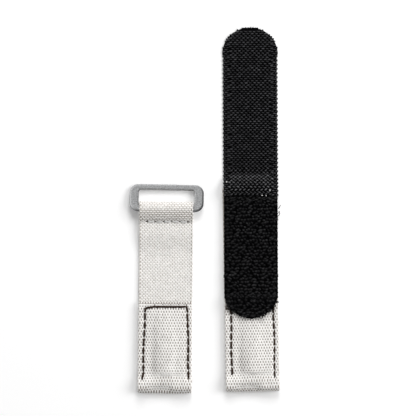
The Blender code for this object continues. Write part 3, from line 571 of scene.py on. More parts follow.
class ClothStrip:
    """Cloth along a path. Side 1 is its outer face, side -1 its inner one."""

    def __init__(self, path, place, thickness, half_width, lift=None):
        self.path, self.place = path, place
        self.half, self.half_width = thickness / 2, half_width
        self.lift = lift or (lambda x, t: np.zeros_like(x))
        self.seams = {1: [], -1: []}
        self.holes = {1: [], -1: []}
        # Stretches of painted shade: on the lug fold, and deeper in the gaps
        self.fold_shade, self.deep = [], []

    def relief(self, x, t, side):
        """How far seams and needle holes draw a face down, and how much painted shade is on it
        there.
        """
        sunk, shade = np.zeros_like(x), np.ones_like(x)
        if self.seams[side]:
            seams = np.concatenate(self.seams[side])
            away = np.full(x.shape, np.inf)
            for seam_x, seam_t in seams:
                away = np.minimum(away, (x - seam_x) ** 2 + (t - seam_t) ** 2)
            dip = min(bpy.context.scene.strap_webbing.seam_dip, 0.6 * self.half)
            sunk += dip * np.exp(-away / SEAM_REACH ** 2)
        for hole_x, hole_t, hole in self.holes[side]:
            away = (x - hole_x) ** 2 + (t - hole_t) ** 2
            sunk += 0.5 * hole * np.exp(-away / hole ** 2)
            shade *= 1 - np.exp(-away / hole ** 2)
        return sunk, shade * (1 - self.share(self.deep, t))

    def share(self, stretches, t):
        """The value at t of stretches given as start, end, amount and fade."""
        values = np.zeros_like(t)
        for start, end, amount, fade in stretches:
            inside = smoothstep(t, start - fade, start) * (1 - smoothstep(t, end, end + fade))
            values = np.maximum(values, amount * inside)
        return values

    def locate(self, x, t, offset):
        """Places in the row frame, at an offset along the outer normal."""
        points = self.path.sample(self.path.points, t)
        heading = self.path.sample(self.path.heading, t)
        y = points[..., 0] + offset * heading[..., 1]
        z = points[..., 1] - offset * heading[..., 0]
        spots = np.stack([x, y, z, np.ones_like(y)], -1)
        return (spots @ np.array(self.place).T)[..., :3]

    def surface(self, x, t, side, above=0.0):
        """Places on or above a face, and the face's normals there."""
        x, t = np.asarray(x, float), np.asarray(t, float)
        sunk, _ = self.relief(x, t, side)
        offset = self.lift(x, t) + side * (self.half - sunk)
        spots = self.locate(x, t, offset + side * above)
        return spots, spots - self.locate(x, t, offset + side * (above - MM))

    def sew(self, points, stitch, side, hole):
        """Sink a seam into a face: a line with a needle hole at every stitch."""
        run = np.concatenate([[0], np.cumsum(np.hypot(*np.diff(points, axis=0).T))])
        at_holes = np.linspace(0, run[-1], max(1, round(run[-1] / stitch)) + 1)
        self.holes[side] += [(np.interp(d, run, points[:, 0]), np.interp(d, run, points[:, 1]),
                              hole) for d in at_holes]
        dense = np.linspace(0, run[-1], math.ceil(run[-1] / (0.3 * MM)) + 1)
        self.seams[side].append(np.stack([np.interp(dense, run, points[:, i])
                                          for i in (0, 1)], 1))

    def mesh(self, name, columns, rows):
        """The strip as one closed mesh, with its map, heading and shade."""
        widest = max(self.half_width(t) for t in rows) - self.half
        columns = np.asarray(columns) / np.max(columns) * widest
        bends = np.radians([60, 30, 0, -30, -60])
        count = len(columns)
        side = np.array([1] * count + [0] * 5 + [-1] * count + [0] * 5)
        flat = np.concatenate([columns, [widest] * 5, columns[::-1], [-widest] * 5])
        out = np.concatenate([np.zeros(count), np.cos(bends), np.zeros(count),
                              -np.cos(bends)[::-1]]) * self.half
        rise = np.concatenate([np.ones(count), np.sin(bends), -np.ones(count),
                               np.sin(bends)[::-1]]) * self.half
        run_up, run_down = [
            np.where(up >= 0, self.half * np.arccos(np.clip(up / self.half, 0, 1)), 0)
            for up in (rise, -rise)]
        vertices, along, shades, flats, fold_shadings = [], [], [], [], []
        for t in rows:
            scale = max(self.half_width(t) - self.half, 0.05 * MM) / widest
            x = flat * scale + out
            ends = min(t, self.path.length - t)
            round_share = math.sqrt(max(0.1, 1 - max(0.0, 1 - ends / END_ROUND) ** 2))
            t_all = np.full_like(x, t)
            sunk_up, shade_up = self.relief(x, t_all, 1)
            sunk_down, shade_down = self.relief(x, t_all, -1)
            offset = self.lift(x, t_all) + round_share * (
                rise - np.where(side == 1, sunk_up, 0) + np.where(side == -1, sunk_down, 0))
            vertices.append(self.locate(x, t_all, offset))
            shades.append(np.where(side == 1, shade_up, np.where(side == -1, shade_down, 1.0)))
            heading = self.path.sample(self.path.heading, t)
            turned = np.array(self.place)[:3, :3] @ np.array([0, heading[0], heading[1]])
            along.append(np.tile(turned, (len(x), 1)))
            flats.append(flat * scale)
            fold_shadings.append(self.share(self.fold_shade, t_all))
        around = len(side)
        faces = bands(len(rows), around)
        right, left = count + 2, 2 * count + 7
        charts = [1 if k < right or k >= left else -1 for k in range(around)] * (len(rows) - 1)
        for row in (0, len(rows) - 1):
            start = row * around
            lower = [start + 2 * count + 4 - j for j in range(count)]
            for j in range(count - 1):
                faces.append((start + j, start + j + 1, lower[j + 1], lower[j]))
            faces.append((start + count - 1, *range(start + count, start + count + 5),
                          lower[count - 1]))
            faces.append((lower[0], *range(start + 2 * count + 5, start + around), start))
            charts += [0] * (count + 1)
        mesh = bpy.data.meshes.new(name)
        mesh.from_pydata([tuple(v) for v in np.concatenate(vertices)], [], faces)
        store(mesh, "along", np.concatenate(along))
        store(mesh, "shade", np.concatenate(shades))
        store(mesh, "wear", np.concatenate(fold_shadings))
        store(mesh, "flat", np.tile(np.abs(side), len(rows)))
        chart = np.repeat(charts, [len(f) for f in faces])
        corner = np.concatenate(faces)
        flats = np.concatenate(flats)
        sign = np.sign(flats[corner])
        bend = np.where(chart >= 0, run_up[corner % around], run_down[corner % around])
        u = flats[corner] + sign * bend
        middle = np.where(chart >= 0, OUTER_MAP, INNER_MAP)
        v = np.asarray(rows)[corner // around]
        layer = mesh.uv_layers.new(name="UVMap")
        pairs = np.stack([np.where(chart == 0, 0.9, middle + u * MAP_SCALE),
                          np.where(chart == 0, 0.9, v * MAP_SCALE)], 1)
        layer.data.foreach_set("uv", pairs.astype(np.float32).ravel())
        turn_outwards(mesh)
        return mesh


def spaced(end, coarse, fine):
    """Places from 0 to end, closer together inside the (from, to, step) stretches."""
    places = [0.0]
    while places[-1] < end:
        steps = [step for low, high, step in fine if low <= places[-1] + coarse / 2 <= high
                 or low <= places[-1] <= high]
        places.append(places[-1] + min(steps, default=coarse))
    places[-1] = end
    return np.array(places)


def cloth_frame(node, lean, start=0.0):
    """Where a strip lies: from its middle at a given distance from the lug fold."""
    back = Matrix.Rotation(-lean, 4, "Z")
    spots = [back @ v.co for v in frame["nodes"][node].data.vertices]
    middle = (min(p.x for p in spots) + max(p.x for p in spots)) / 2
    low = min(p.y for p in spots)
    stand = bpy.context.scene.strap_layout.stand
    return Matrix.Rotation(lean, 4, "Z") @ Matrix.Translation((middle, low - start, stand))


# Small repeated shapes
def shape_object(name, vertices, faces, crown):
    """A shape to copy. Its crown share is painted light: shade low on yarn, highlight on nylon.
    """
    mesh = mesh_of(name, vertices, faces)
    store(mesh, "crown", crown)
    store(mesh, "shade", [1.0] * len(vertices))
    return new_object(name, mesh)


def dome_shape(name, corner=0.08):
    """A float of yarn: a low dome over a rectangle without its corners, 1 by 1 by 1."""
    vertices, crown = [], []
    outline = [(0.5, 0.5 - corner), (0.5 - 2 * corner, 0.5)]
    outline += [(-x, y) for x, y in outline[::-1]]
    outline += [(-x, -y) for x, y in outline]
    sides = len(outline)
    # The crown share of each ring of points leaves painted shade low on the float's sides
    for reach, height, tone in ((1.0, -0.5, 0.15), (0.88, 0.58, 0.88), (0.55, 0.92, 1.0)):
        for x, y in outline:
            vertices.append((reach * x, reach * y, height))
            crown.append(tone)
    vertices.append((0, 0, 1.0))
    crown.append(1.0)
    faces = bands(3, sides)
    faces += [(2 * sides + k, 2 * sides + (k + 1) % sides, 3 * sides) for k in range(sides)]
    return shape_object(name, vertices, faces + [tuple(range(sides))[::-1]], crown)


def tube_shape(name, spine, radii, highlight_shares):
    """A short thread in the x-z plane, five-sided and closed at both ends."""
    sides, spine = 5, np.array(spine, float)
    heading = np.gradient(spine, axis=0)
    heading /= np.hypot(*heading.T)[:, None]
    vertices, crown = [], []
    for i, (x, z) in enumerate(spine):
        for k in range(sides):
            angle = 2 * math.pi * k / sides
            out, aside = radii[i] * math.cos(angle), radii[i] * math.sin(angle)
            vertices.append((x - out * heading[i][1], aside, z + out * heading[i][0]))
            crown.append(highlight_shares[i])
    last = (len(spine) - 1) * sides
    ends = [tuple(range(sides)), tuple(range(last, last + sides))]
    return shape_object(name, vertices, bands(len(spine), sides) + ends, crown)


def hook_shape(name):
    """A hook of nylon: a stem that bends over, 1 high, its crown along x."""
    spine = [(-0.4, -0.15), (-0.42, 0.4), (-0.38, 0.68), (-0.24, 0.86), (0.0, 0.91),
             (0.22, 0.86), (0.36, 0.7), (0.4, 0.52), (0.38, 0.38)]
    radii = [0.12, 0.115, 0.12, 0.13, 0.135, 0.13, 0.12, 0.105, 0.08]
    # The crown shares paint a highlight on the hook's bend
    highlight_shares = [0.0, 0.0, 0.25, 0.8, 1.0, 0.8, 0.3, 0.05, 0.0]
    return tube_shape(name, spine, radii, highlight_shares)


def loop_shape(name):
    """A pile loop: an arch of fine yarn, 1 wide and 1 high."""
    spine = [(0.5 * math.cos(a), math.sin(a) * 1.15 - 0.15) for a in np.linspace(math.pi, 0, 8)]
    radii = [0.08, 0.1, 0.12, 0.13, 0.13, 0.12, 0.1, 0.08]
    # The crown shares paint a highlight on the loop's top
    return tube_shape(name, spine, radii, [0.0, 0.1, 0.55, 1.0, 1.0, 0.55, 0.1, 0.0])


def dress(strip_object, shape, material, jobs):
    """Cover a strip with copies of a shape, one job after the other."""
    tree = bpy.data.node_groups.get("Cover a strip") or cover_tree()
    pieces = []
    for job in jobs:
        base = new_object("cover", bpy.data.meshes.new("cover"))
        base.data.from_pydata([(0, 0, 0)], [], [])
        values = {"Strip": strip_object, "Shape": shape, "Material": material, **job}
        pieces.append(new_object("cover", run_tree(base, tree, values)))
        bpy.data.objects.remove(base)
    return pieces


def sew_thread(name, spots, ups, values, material):
    """A thread along a line of places, as its own mesh object."""
    tree = bpy.data.node_groups.get("Sew along a line") or thread_tree()
    mesh = bpy.data.meshes.new("line")
    mesh.from_pydata([tuple(p) for p in spots], [(i, i + 1) for i in range(len(spots) - 1)], [])
    store(mesh, "up", ups / np.linalg.norm(ups, axis=1)[:, None])
    base = new_object("line", mesh)
    thread = new_object(name, run_tree(base, tree, {**values, "Material": material}))
    bpy.data.objects.remove(base)
    return thread


# Materials
def new_material(name):
    """A material without nodes yet, and its tree."""
    material = bpy.data.materials.new(name)
    material.use_nodes = True
    material.node_tree.nodes.clear()
    return material, material.node_tree


def rgba(hue, share=1.0):
    """A colour for a node's socket, darkened or brightened by a share."""
    return (*(min(1.0, c * share) for c in hue), 1.0)


def finish_material(tree, **sockets):
    """Put a principled shader on the surface, with its colour, roughness and the rest."""
    names = {key.replace("_", " ").title().replace("Ior", "IOR"): value
             for key, value in sockets.items()}
    shader = add(tree, "ShaderNodeBsdfPrincipled", names, "BSDF")
    add(tree, "ShaderNodeOutputMaterial", {"Surface": shader})


def polyester_webbing(webbing):
    """Undyed polyester yarn: soft off-white floats over gaps in painted shade, with a faint
    sheen.
    """
    material, tree = new_material("undyed polyester webbing")
    shade, crown, tone, wear = [add(tree, "ShaderNodeAttribute", output="Fac",
                                    attribute_name=name)
                                for name in ("shade", "crown", "tone", "wear")]
    # Painted shade: the hole colour in needle holes and darker gap stretches, the gap colour low
    # on the floats and between them, and the fold colour on the lug fold's under-curve
    surface = rgba(webbing.hole)
    for share, hue in ((shade, webbing.gap), (crown, webbing.yarn), (wear, webbing.fold_shade)):
        surface = add(tree, "ShaderNodeMix", {0: share, 6: surface, 7: rgba(hue)}, 2,
                      data_type="RGBA")
    # Yarns differ a little, and handling leaves clouds some 3 mm wide
    tone = add(tree, "ShaderNodeMath", (tone, 0.08, 0.94), operation="MULTIPLY_ADD")
    place = add(tree, "ShaderNodeTexCoord", output="Object")
    soil = add(tree, "ShaderNodeTexNoise", {"Vector": place, "Scale": 1 / (3 * MM)}, "Fac")
    soil = add(tree, "ShaderNodeMath", (soil, 0.1, 0.95), operation="MULTIPLY_ADD")
    tone = add(tree, "ShaderNodeMath", (tone, soil), operation="MULTIPLY")
    surface = add(tree, "ShaderNodeVectorMath", {0: surface, "Scale": tone}, operation="SCALE")
    # Filaments are 0.02 mm thick. They are drawn at 0.09 mm, the finest that shows
    run = add(tree, "ShaderNodeMapping", {"Vector": place, "Scale": (1.0, 0.18, 1.0)})
    fibres = add(tree, "ShaderNodeTexNoise", {"Vector": run, "Scale": 1 / (0.09 * MM),
                                              "Detail": 3.0}, "Fac")
    bump = add(tree, "ShaderNodeBump", {"Height": fibres, "Strength": 0.4,
                                        "Distance": 0.03 * MM})
    finish_material(tree, base_color=surface, roughness=0.8, specular_ior_level=0.25,
                    sheen_weight=0.15, sheen_roughness=0.5, normal=bump)
    return material


def sewing_thread(name, hue):
    """Bonded nylon thread: its plies darken where they meet, and it shines a little."""
    material, tree = new_material(name)
    # Filaments are 0.02 mm thick. They are drawn at 0.08 mm to show
    place = add(tree, "ShaderNodeTexCoord", output="Object")
    fibres = add(tree, "ShaderNodeTexNoise", {"Vector": place, "Scale": 1 / (0.08 * MM),
                                              "Detail": 3.0}, "Fac")
    surface = add(tree, "ShaderNodeMix", {0: fibres, 6: rgba(hue, 0.5), 7: rgba(hue, 1.4)}, 2,
                  data_type="RGBA")
    bump = add(tree, "ShaderNodeBump", {"Height": fibres, "Strength": 0.4,
                                        "Distance": 0.02 * MM})
    finish_material(tree, base_color=surface, roughness=0.6, specular_ior_level=0.2,
                    normal=bump)
    return material


def satin_steel(ring):
    """Brushed steel: fine scratches along the bars spread the light across them."""
    material, tree = new_material("brushed steel")
    place = add(tree, "ShaderNodeTexCoord", output="Object")
    # Scratches are 0.02 mm apart. They are drawn at 0.3 mm to show
    run = add(tree, "ShaderNodeMapping", {"Vector": place, "Scale": (0.5, 1.0, 1.0)})
    scratches = add(tree, "ShaderNodeTexNoise", {"Vector": run, "Scale": 1 / (0.3 * MM),
                                                 "Detail": 4.0}, "Fac")
    cloud = add(tree, "ShaderNodeTexNoise", {"Vector": place, "Scale": 1 / (3 * MM)}, "Fac")
    roughness = add(tree, "ShaderNodeMath", (cloud, 0.1, 0.22), operation="MULTIPLY_ADD")
    surface = add(tree, "ShaderNodeMix", {0: scratches, 6: rgba(ring.steel, 0.2),
                                          7: rgba(ring.steel, 1.8)}, 2, data_type="RGBA")
    # The plate's sides get a dark colour: painted shade
    side = add(tree, "ShaderNodeAttribute", output="Fac", attribute_name="side")
    surface = add(tree, "ShaderNodeMix", {0: side, 6: surface, 7: rgba(ring.side_shade)}, 2,
                  data_type="RGBA")
    bump = add(tree, "ShaderNodeBump", {"Height": scratches, "Strength": 0.35,
                                        "Distance": 0.012 * MM})
    finish_material(tree, base_color=surface, metallic=1.0, roughness=roughness, normal=bump)
    return material


def black_nylon(name, hue, bright, roughness, lustre):
    """Dyed nylon: near black, with small painted highlights on the bends of hooks and loops."""
    material, tree = new_material(name)
    crown, tone = [add(tree, "ShaderNodeAttribute", output="Fac", attribute_name=attribute)
                   for attribute in ("crown", "tone")]
    crown = add(tree, "ShaderNodeMath", (crown, 2.0), operation="POWER", use_clamp=True)
    place = add(tree, "ShaderNodeTexCoord", output="Object")
    # The painted highlights vary in patches some 2 mm wide, where brushing lays hooks and loops
    # over
    cloud = add(tree, "ShaderNodeTexNoise", {"Vector": place, "Scale": 1 / (2 * MM),
                                             "Detail": 1.0}, "Fac")
    cloud = add(tree, "ShaderNodeMapRange", (cloud, 0.3, 0.7, 0.55, 1.15))
    tone = add(tree, "ShaderNodeMath", (tone, 0.6, 0.4), operation="MULTIPLY_ADD")
    tone = add(tree, "ShaderNodeMath", (tone, cloud), operation="MULTIPLY")
    mix = add(tree, "ShaderNodeMath", (crown, tone), operation="MULTIPLY", use_clamp=True)
    surface = add(tree, "ShaderNodeMix", {0: mix, 6: rgba(hue), 7: rgba(bright)}, 2,
                  data_type="RGBA")
    grain = add(tree, "ShaderNodeTexNoise", {"Vector": place, "Scale": 1 / (0.12 * MM)}, "Fac")
    bump = add(tree, "ShaderNodeBump", {"Height": grain, "Strength": 0.3,
                                        "Distance": 0.02 * MM})
    finish_material(tree, base_color=surface, roughness=roughness, specular_ior_level=lustre,
                    normal=bump)
    return material


def pale_speck_finish(hue):
    """Pale specks: dull and uneven."""
    material, tree = new_material("pale lint")
    place = add(tree, "ShaderNodeTexCoord", output="Object")
    speck_look = add(tree, "ShaderNodeTexNoise", {"Vector": place, "Scale": 1 / (0.15 * MM)}, "Fac")
    surface = add(tree, "ShaderNodeMix", {0: speck_look, 6: rgba(hue, 0.5), 7: rgba(hue, 1.3)}, 2,
                  data_type="RGBA")
    finish_material(tree, base_color=surface, roughness=0.9, specular_ior_level=0.1)
    return material


def matt_paper(hue, glow):
    """Matt white paper: it takes the object's soft shadow and is white to the camera."""
    material, tree = new_material("matt white paper")
    lit = add(tree, "ShaderNodeBsdfDiffuse", {"Color": rgba(hue)})
    faint = add(tree, "ShaderNodeEmission", {"Color": rgba(hue), "Strength": 0.05})
    white = add(tree, "ShaderNodeEmission", {"Color": rgba(hue), "Strength": 1.0})
    seen = add(tree, "ShaderNodeLightPath", output="Is Camera Ray")
    bright = add(tree, "ShaderNodeAddShader", (lit, faint))
    bright = add(tree, "ShaderNodeMixShader", (glow, bright, white))
    shown = add(tree, "ShaderNodeMixShader", (seen, lit, bright))
    add(tree, "ShaderNodeOutputMaterial", {"Surface": shown})
    return material


def webbing_material():
    """The webbing's material, made at its first use, as the others below are."""
    name = "undyed polyester webbing"
    return bpy.data.materials.get(name) or polyester_webbing(bpy.context.scene.strap_webbing)


def thread_material(kind):
    """The bonded thread of one colour."""
    name, thread = f"{kind} bonded thread", bpy.context.scene.strap_thread
    return bpy.data.materials.get(name) or sewing_thread(name, getattr(thread, kind))


# Name, painted highlight colour on the crowns, share of it, roughness and lustre. Hooks on the
# bend get a brighter painted glint. The ground's crowns get a faint one, and it stays dull
NYLONS = {
    "hooks": ("black nylon hooks", "hook_highlight", 1.0, 0.36, 0.25),
    "rubbed": ("rubbed nylon hooks", "bend_glint", 1.0, 0.3, 0.4),
    "ground": ("black nylon ground", "hook_highlight", 0.12, 0.8, 0.03),
    "loops": ("black nylon loops", "loop_highlight", 1.0, 0.65, 0.08),
}


def nylon(kind):
    """One of the black nylons in the table above."""
    tape = bpy.context.scene.strap_tape
    name, crown, share, roughness, lustre = NYLONS[kind]
    bright = [c * share for c in getattr(tape, crown)]
    return (bpy.data.materials.get(name)
            or black_nylon(name, tape.black, bright, roughness, lustre))


# How the strips lie and where they are sewn
def lug_fold(layout, webbing, start=0.0):
    """The runs from the flap's cut edge to the pressed fold over the spring bar's tunnel."""
    half = layout.thickness / 2
    upper = layout.thickness + layout.layer_gap + half
    front = start + half + 0.03 * MM
    crown = layout.thickness + 2 * webbing.lug_radius + 0.2 * MM
    neck = start + 2 * half + webbing.lug_radius
    landing = (neck + webbing.lug_neck, upper)
    fold = [(neck + 0.9 * MM, crown), (start + webbing.crease, crown - 0.05 * MM),
            (front, 0.5 * crown), (front, 0.32 * crown), (front + 0.65 * MM, half)]
    return ([line((layout.flap, upper), landing), ease(landing, fold[0])]
            + [line(*ends) for ends in zip(fold, fold[1:])]), fold[-1]


def short_path(layout, webbing):
    """The short half: lug fold, climb over its own tail, fold round the ring and tail."""
    runs, lug = lug_fold(layout, webbing)
    half = layout.thickness / 2
    upper = layout.thickness + layout.layer_gap + half
    bend = webbing.ring_radius + half
    fold = layout.short_length - bend - half
    end = layout.short_length - webbing.tail
    step = end - layout.layer_gap
    slope = webbing.ring_slope
    brow = (fold - bend * math.sin(slope), half + bend + bend * math.cos(slope))
    foot = (layout.ring_seam - 0.3 * MM, upper)
    rise, run, steep = brow[1] - upper, brow[0] - foot[0], math.tan(slope)
    u = np.linspace(0, 1, 100)
    swell = np.stack([foot[0] + run * u, upper + (2 * rise - run * steep) * u
                      - (rise - run * steep) * u * u], 1)
    runs += [line(lug, (step - webbing.tail_rise, half)),
             ease((step - webbing.tail_rise, half), (step, upper)),
             line((step, upper), foot), swell,
             arc((fold, half + bend), bend, 90 + math.degrees(slope),
                 -180 - math.degrees(slope)),
             line((fold, half), (end, half))]
    return ClothPath(runs)


def long_path(layout, webbing, tape):
    """The long half: lug fold and the layer under the tapes."""
    runs, lug = lug_fold(layout, webbing, layout.long_start)
    return ClothPath(runs + [line(lug, (layout.hook_start + tape.overlap, lug[1]))])


def loop_path(layout, tape):
    """The loop tape: from under the hook tape down onto the flap."""
    cloth = tape.loop_cloth / 2
    low = layout.thickness + layout.layer_gap + cloth
    high = low + layout.thickness + layout.layer_gap + 0.15 * MM
    over = layout.flap + 0.3 * MM
    down = over + 2.4 * MM
    top = layout.hook_start + tape.overlap - layout.layer_gap
    return ClothPath([line((top, low), (down, low)), ease((down, low), (over, high)),
                      line((over, high), (layout.loop_start, high))])


def hook_path(layout, tape):
    """The hook tape: from its round tip up onto the loop tape."""
    cloth = tape.backing / 2 + 0.06 * MM
    high = cloth + 2 * layout.thickness + 2 * layout.layer_gap
    over = layout.hook_start + tape.overlap - 1.3 * MM
    return ClothPath([line((layout.hook_end, cloth), (over + tape.ramp, cloth)),
                      ease((over + tape.ramp, cloth), (over, high)),
                      line((over, high), (layout.hook_start, high))])


# The puffed flap's height from its left seam, at -1, to its right one, at 1: steep on the
# left, with a shelf on the right
FLAP_PROFILE = ((-1, 0), (-0.63, 0.03), (-0.53, 0.15), (-0.48, 0.28), (-0.36, 0.56),
                (-0.24, 0.77), (-0.12, 0.91), (0, 0.99), (0.07, 1.0), (0.2, 0.965),
                (0.3, 0.88), (0.41, 0.75), (0.5, 0.66), (0.58, 0.62), (0.7, 0.61),
                (0.88, 0.6), (0.95, 0.38), (1, 0))


def puffed_flap(path, layout, webbing, start, end):
    """Lift of the flap between its seams, from one distance to another along it, with the
    bow of the lug fold and the dent in its upper crease."""
    places = np.linspace(-1, 1, 201)
    shape = np.interp(places, *zip(*FLAP_PROFILE))
    bell = np.hanning(15)
    shape = np.convolve(np.pad(shape, 7), bell / bell.sum(), "valid")
    neck = start + layout.thickness + webbing.lug_radius
    rise, loop = path.t_at(neck + webbing.lug_neck + 1.6 * MM), path.t_at(neck + 0.3 * MM)
    crease = path.t_at(start + webbing.crease)
    fade = 18 * MM

    def lift(x, t):
        leg = layout.leg_top + layout.leg_flare / 2
        height = np.interp(x / leg, places, shape)
        s = path.sample(path.points, t)[..., 0]
        height = height * np.clip((end - s) / fade, 0, 1) ** 0.8
        height = height * (1 - smoothstep(t, rise, loop)) * (t < path.turn)
        # Slow ripples, of a few millimetres, keep the crown from looking moulded
        ripple = (np.sin(x / (1.9 * MM) + 1.3 * np.sin(t / (4.1 * MM)))
                  + np.sin(t / (2.3 * MM) + x / (3.7 * MM)))
        reach = np.where(t < path.turn, 1.4 * MM, 0.4 * MM)
        bow = np.exp(-((t - path.turn) / reach) ** 2) * (0.7 - (x / (layout.width / 2)) ** 2)
        press = np.exp(-((t - crease) / (1.3 * MM)) ** 2) * (
            1 - smoothstep(np.abs(x + 1.7 * MM), 1.5 * MM, 6.5 * MM))
        return (webbing.puff * height * (1 + 0.03 * ripple) + webbing.bow * bow
                - webbing.press * press)

    return lift


def leg_points(layout, strip, side_sign, later, top, flare, shift):
    """A brown seam's leg on the flap, from its first stitch near the lug fold. The left
    leg hooks outwards there, and both wander a little."""
    s = np.linspace(layout.leg_start + later, top, 24)
    share = (top - s) / (top - layout.leg_start)
    hook = 0.35 * MM * np.clip((share - 0.93) / 0.07, 0, 1) * (side_sign < 0)
    wander = 0.12 * MM * np.sin(s / (2.9 * MM) + side_sign)
    x = side_sign * (layout.leg_top + flare * share + hook) + shift + wander
    t = np.array([strip.path.t_at(y) for y in s])
    return np.stack([x, t], 1)


def below(strip, spots, after):
    """The places of a strip's map that lie under or over given places."""
    local = np.array(strip.place.inverted()) @ np.concatenate(
        [spots, np.ones((len(spots), 1))], 1).T
    return np.stack([local[0], [strip.path.t_at(y, after) for y in local[1]]], 1)


def sewing_plan():
    """The four strips with their seams sunk into them, and every thread's line."""
    scene = bpy.context.scene
    layout, webbing, tape = scene.strap_layout, scene.strap_webbing, scene.strap_tape
    thread = scene.strap_thread
    cloth = layout.thickness - 2 * webbing.yarn_rise
    flat = layout.width / 2 - 0.5 * webbing.yarn_rise

    def straight(t):
        """Half the width of webbing, less its selvedge yarns."""
        return flat

    def hook_tip(t):
        """Half the width of the hook tape, whose tip is round."""
        radius = layout.width / 2
        return radius if t > radius else math.sqrt(max(t, 0) * (2 * radius - t)) + 0.4 * MM

    path = short_path(layout, webbing)
    short = ClothStrip(path, cloth_frame("short_webbing", layout.short_lean), cloth, straight,
                       puffed_flap(path, layout, webbing, 0.0, layout.top_seam - MM))
    path = long_path(layout, webbing, tape)
    long = ClothStrip(path, cloth_frame("long_webbing", layout.long_lean), cloth, straight,
                      puffed_flap(path, layout, webbing, layout.long_start,
                                  layout.loop_start + 1.5 * MM))
    # The lug fold gets painted shade, most at its foot, and the flap's gaps deeper painted shade
    for strip in (short, long):
        turned = strip.path.turn
        strip.fold_shade.append((turned - 2.1 * MM, turned + 0.6 * MM, 0.5, 1.1 * MM))
        strip.fold_shade.append((turned - 0.7 * MM, turned + 0.7 * MM, 0.85, 0.5 * MM))
        strip.deep.append((-MM, turned, 0.5, 0.5 * MM))
    tapes = cloth_frame("hook_tape_root", layout.tape_lean, layout.hook_start)
    path = loop_path(layout, tape)

    def loop_end(t):
        """Half the width of the loop tape, whose lower end is round."""
        left = max(path.length - t, 0)
        share = 1 - min(left / tape.loop_round, 1)
        return max(layout.width / 2 * math.sqrt(1 - share * share), 0.9 * MM)

    loop = ClothStrip(path, tapes, tape.loop_cloth - 2 * tape.rib, loop_end)
    hook = ClothStrip(hook_path(layout, tape), tapes, tape.backing - 2 * tape.rib, hook_tip)
    strips = {"short": short, "long": long, "loop": loop, "hook": hook}
    turn_short, turn_long = short.path.turn, long.path.turn
    seams = []

    def sew_both(name, strip, runs, under, after, diameter, kind, top_side=1, hole=0.3 * MM):
        """Sink a seam's runs into both faces, and keep the lines of its two threads."""
        lower = []
        for points, pull in runs:
            strip.sew(points, thread.stitch, top_side, hole)
            spots, _ = strip.surface(points[:, 0], points[:, 1], top_side)
            lower.append((below(under, spots, after), pull))
            under.sew(lower[-1][0], thread.stitch, top_side, hole)
        seams.append((f"{name}_needle_thread", strip, top_side, runs, diameter, kind))
        seams.append((f"{name}_bobbin_thread", under, top_side, lower, diameter * 0.72, kind))

    def flap_line(*spots):
        """A straight run over the short flap, through places in x and s, in mm."""
        spots = np.array(spots) * MM + (layout.seam_shift, 0)
        share = np.linspace(0, len(spots) - 1, 6 * len(spots))
        x, s = [np.interp(share, range(len(spots)), spots[:, i]) for i in (0, 1)]
        return np.stack([x, [short.path.t_at(y) for y in s]], 1)

    # The short half's brown seam goes up the left leg, across the flap and down the right
    # one. Each run has the share of the full pull that its stitches have
    brown, fine = thread.lug_thread, thread.seam_thread
    left, right = [leg_points(layout, short, sign, later, layout.leg_end, layout.leg_flare,
                              layout.seam_shift)
                   for sign, later in ((-1, -0.6 * MM), (1, 0.2 * MM))]
    reach, top = layout.leg_top / MM, layout.top_seam / MM
    first, last = layout.leg_end / MM, top - 0.8
    round_flap = [(left, 1.0), (flap_line((-reach, first), (0.2 - reach, last)), 0.5),
                  (flap_line((0.3 - reach, last), (3.6 - reach, top - 0.3)), 0.35),
                  (flap_line((3.6 - reach, top - 0.3), (reach - 0.7, top - 0.2)), 0.25),
                  (flap_line((reach - 0.65, top - 0.2), (reach - 0.2, top - 0.8),
                             (reach, first)), 0.6),
                  (right[::-1], 1.0)]
    sew_both("short_lug", short, round_flap, short, turn_short, brown, "brown")
    front_t = short.path.t_at(layout.ring_seam, turn_short)
    # Painted shade in the gaps just above the ring's seam
    short.deep.append((front_t - 0.2 * MM, front_t + 2.0 * MM, 0.2, 2.0 * MM))
    ring_line = np.array([(x, front_t + 0.15 * MM * math.sin(x / (1.9 * MM)))
                          for x in np.linspace(-7.05 * MM, 8.06 * MM, 26)])
    tail_t = short.path.t_at(layout.short_length - 1 * MM, turn_short) + 3 * MM
    sew_both("ring_seam", short, [(ring_line, 1.0)], short, tail_t, fine, "white", -1, 0.5 * MM)
    for word, sign, later in (("left", -1, 1.5 * MM), ("right", 1, 0.2 * MM)):
        leg = leg_points(layout, long, sign, later, layout.top_seam, 0.0, 0.25 * MM)
        sew_both(f"long_lug_{word}", long, [(leg, 1.0)], long, turn_long, brown, "brown")

    inset = 1.3 * MM
    angles = np.radians(np.linspace(180, 360, 40))
    across_reach = layout.width / 2 - inset
    round_y = layout.loop_start + tape.loop_round
    around = [(-across_reach, y) for y in np.linspace(layout.hook_start - 1 * MM, round_y, 40)]
    around += [(across_reach * math.cos(a), round_y + (tape.loop_round - inset) * math.sin(a))
               for a in angles[1:-1]]
    around += [(across_reach, y) for y in np.linspace(round_y, layout.hook_start - 1 * MM, 40)]
    u_line = np.array([(x, loop.path.t_at(y)) for x, y in around])
    sew_both("tape_seam", loop, [(u_line, 1.0)], long, turn_long, fine, "black", hole=0.15 * MM)
    seam_t = hook.path.t_at(layout.hook_start + 1.75 * MM)
    over_line = np.array([(x, seam_t) for x in np.linspace(-7 * MM, 7 * MM, 15)])
    sew_both("overlap_seam", hook, [(over_line, 1.0)], long, turn_long, fine * 0.6, "black",
             hole=0.05 * MM)
    return strips, seams


# Pieces
def face_columns(reach, coarse, *finer):
    """Columns of one face, closer together in some stretches, such as the side seams."""
    right = spaced(reach, coarse, finer)
    return np.concatenate([-right[:0:-1], right])


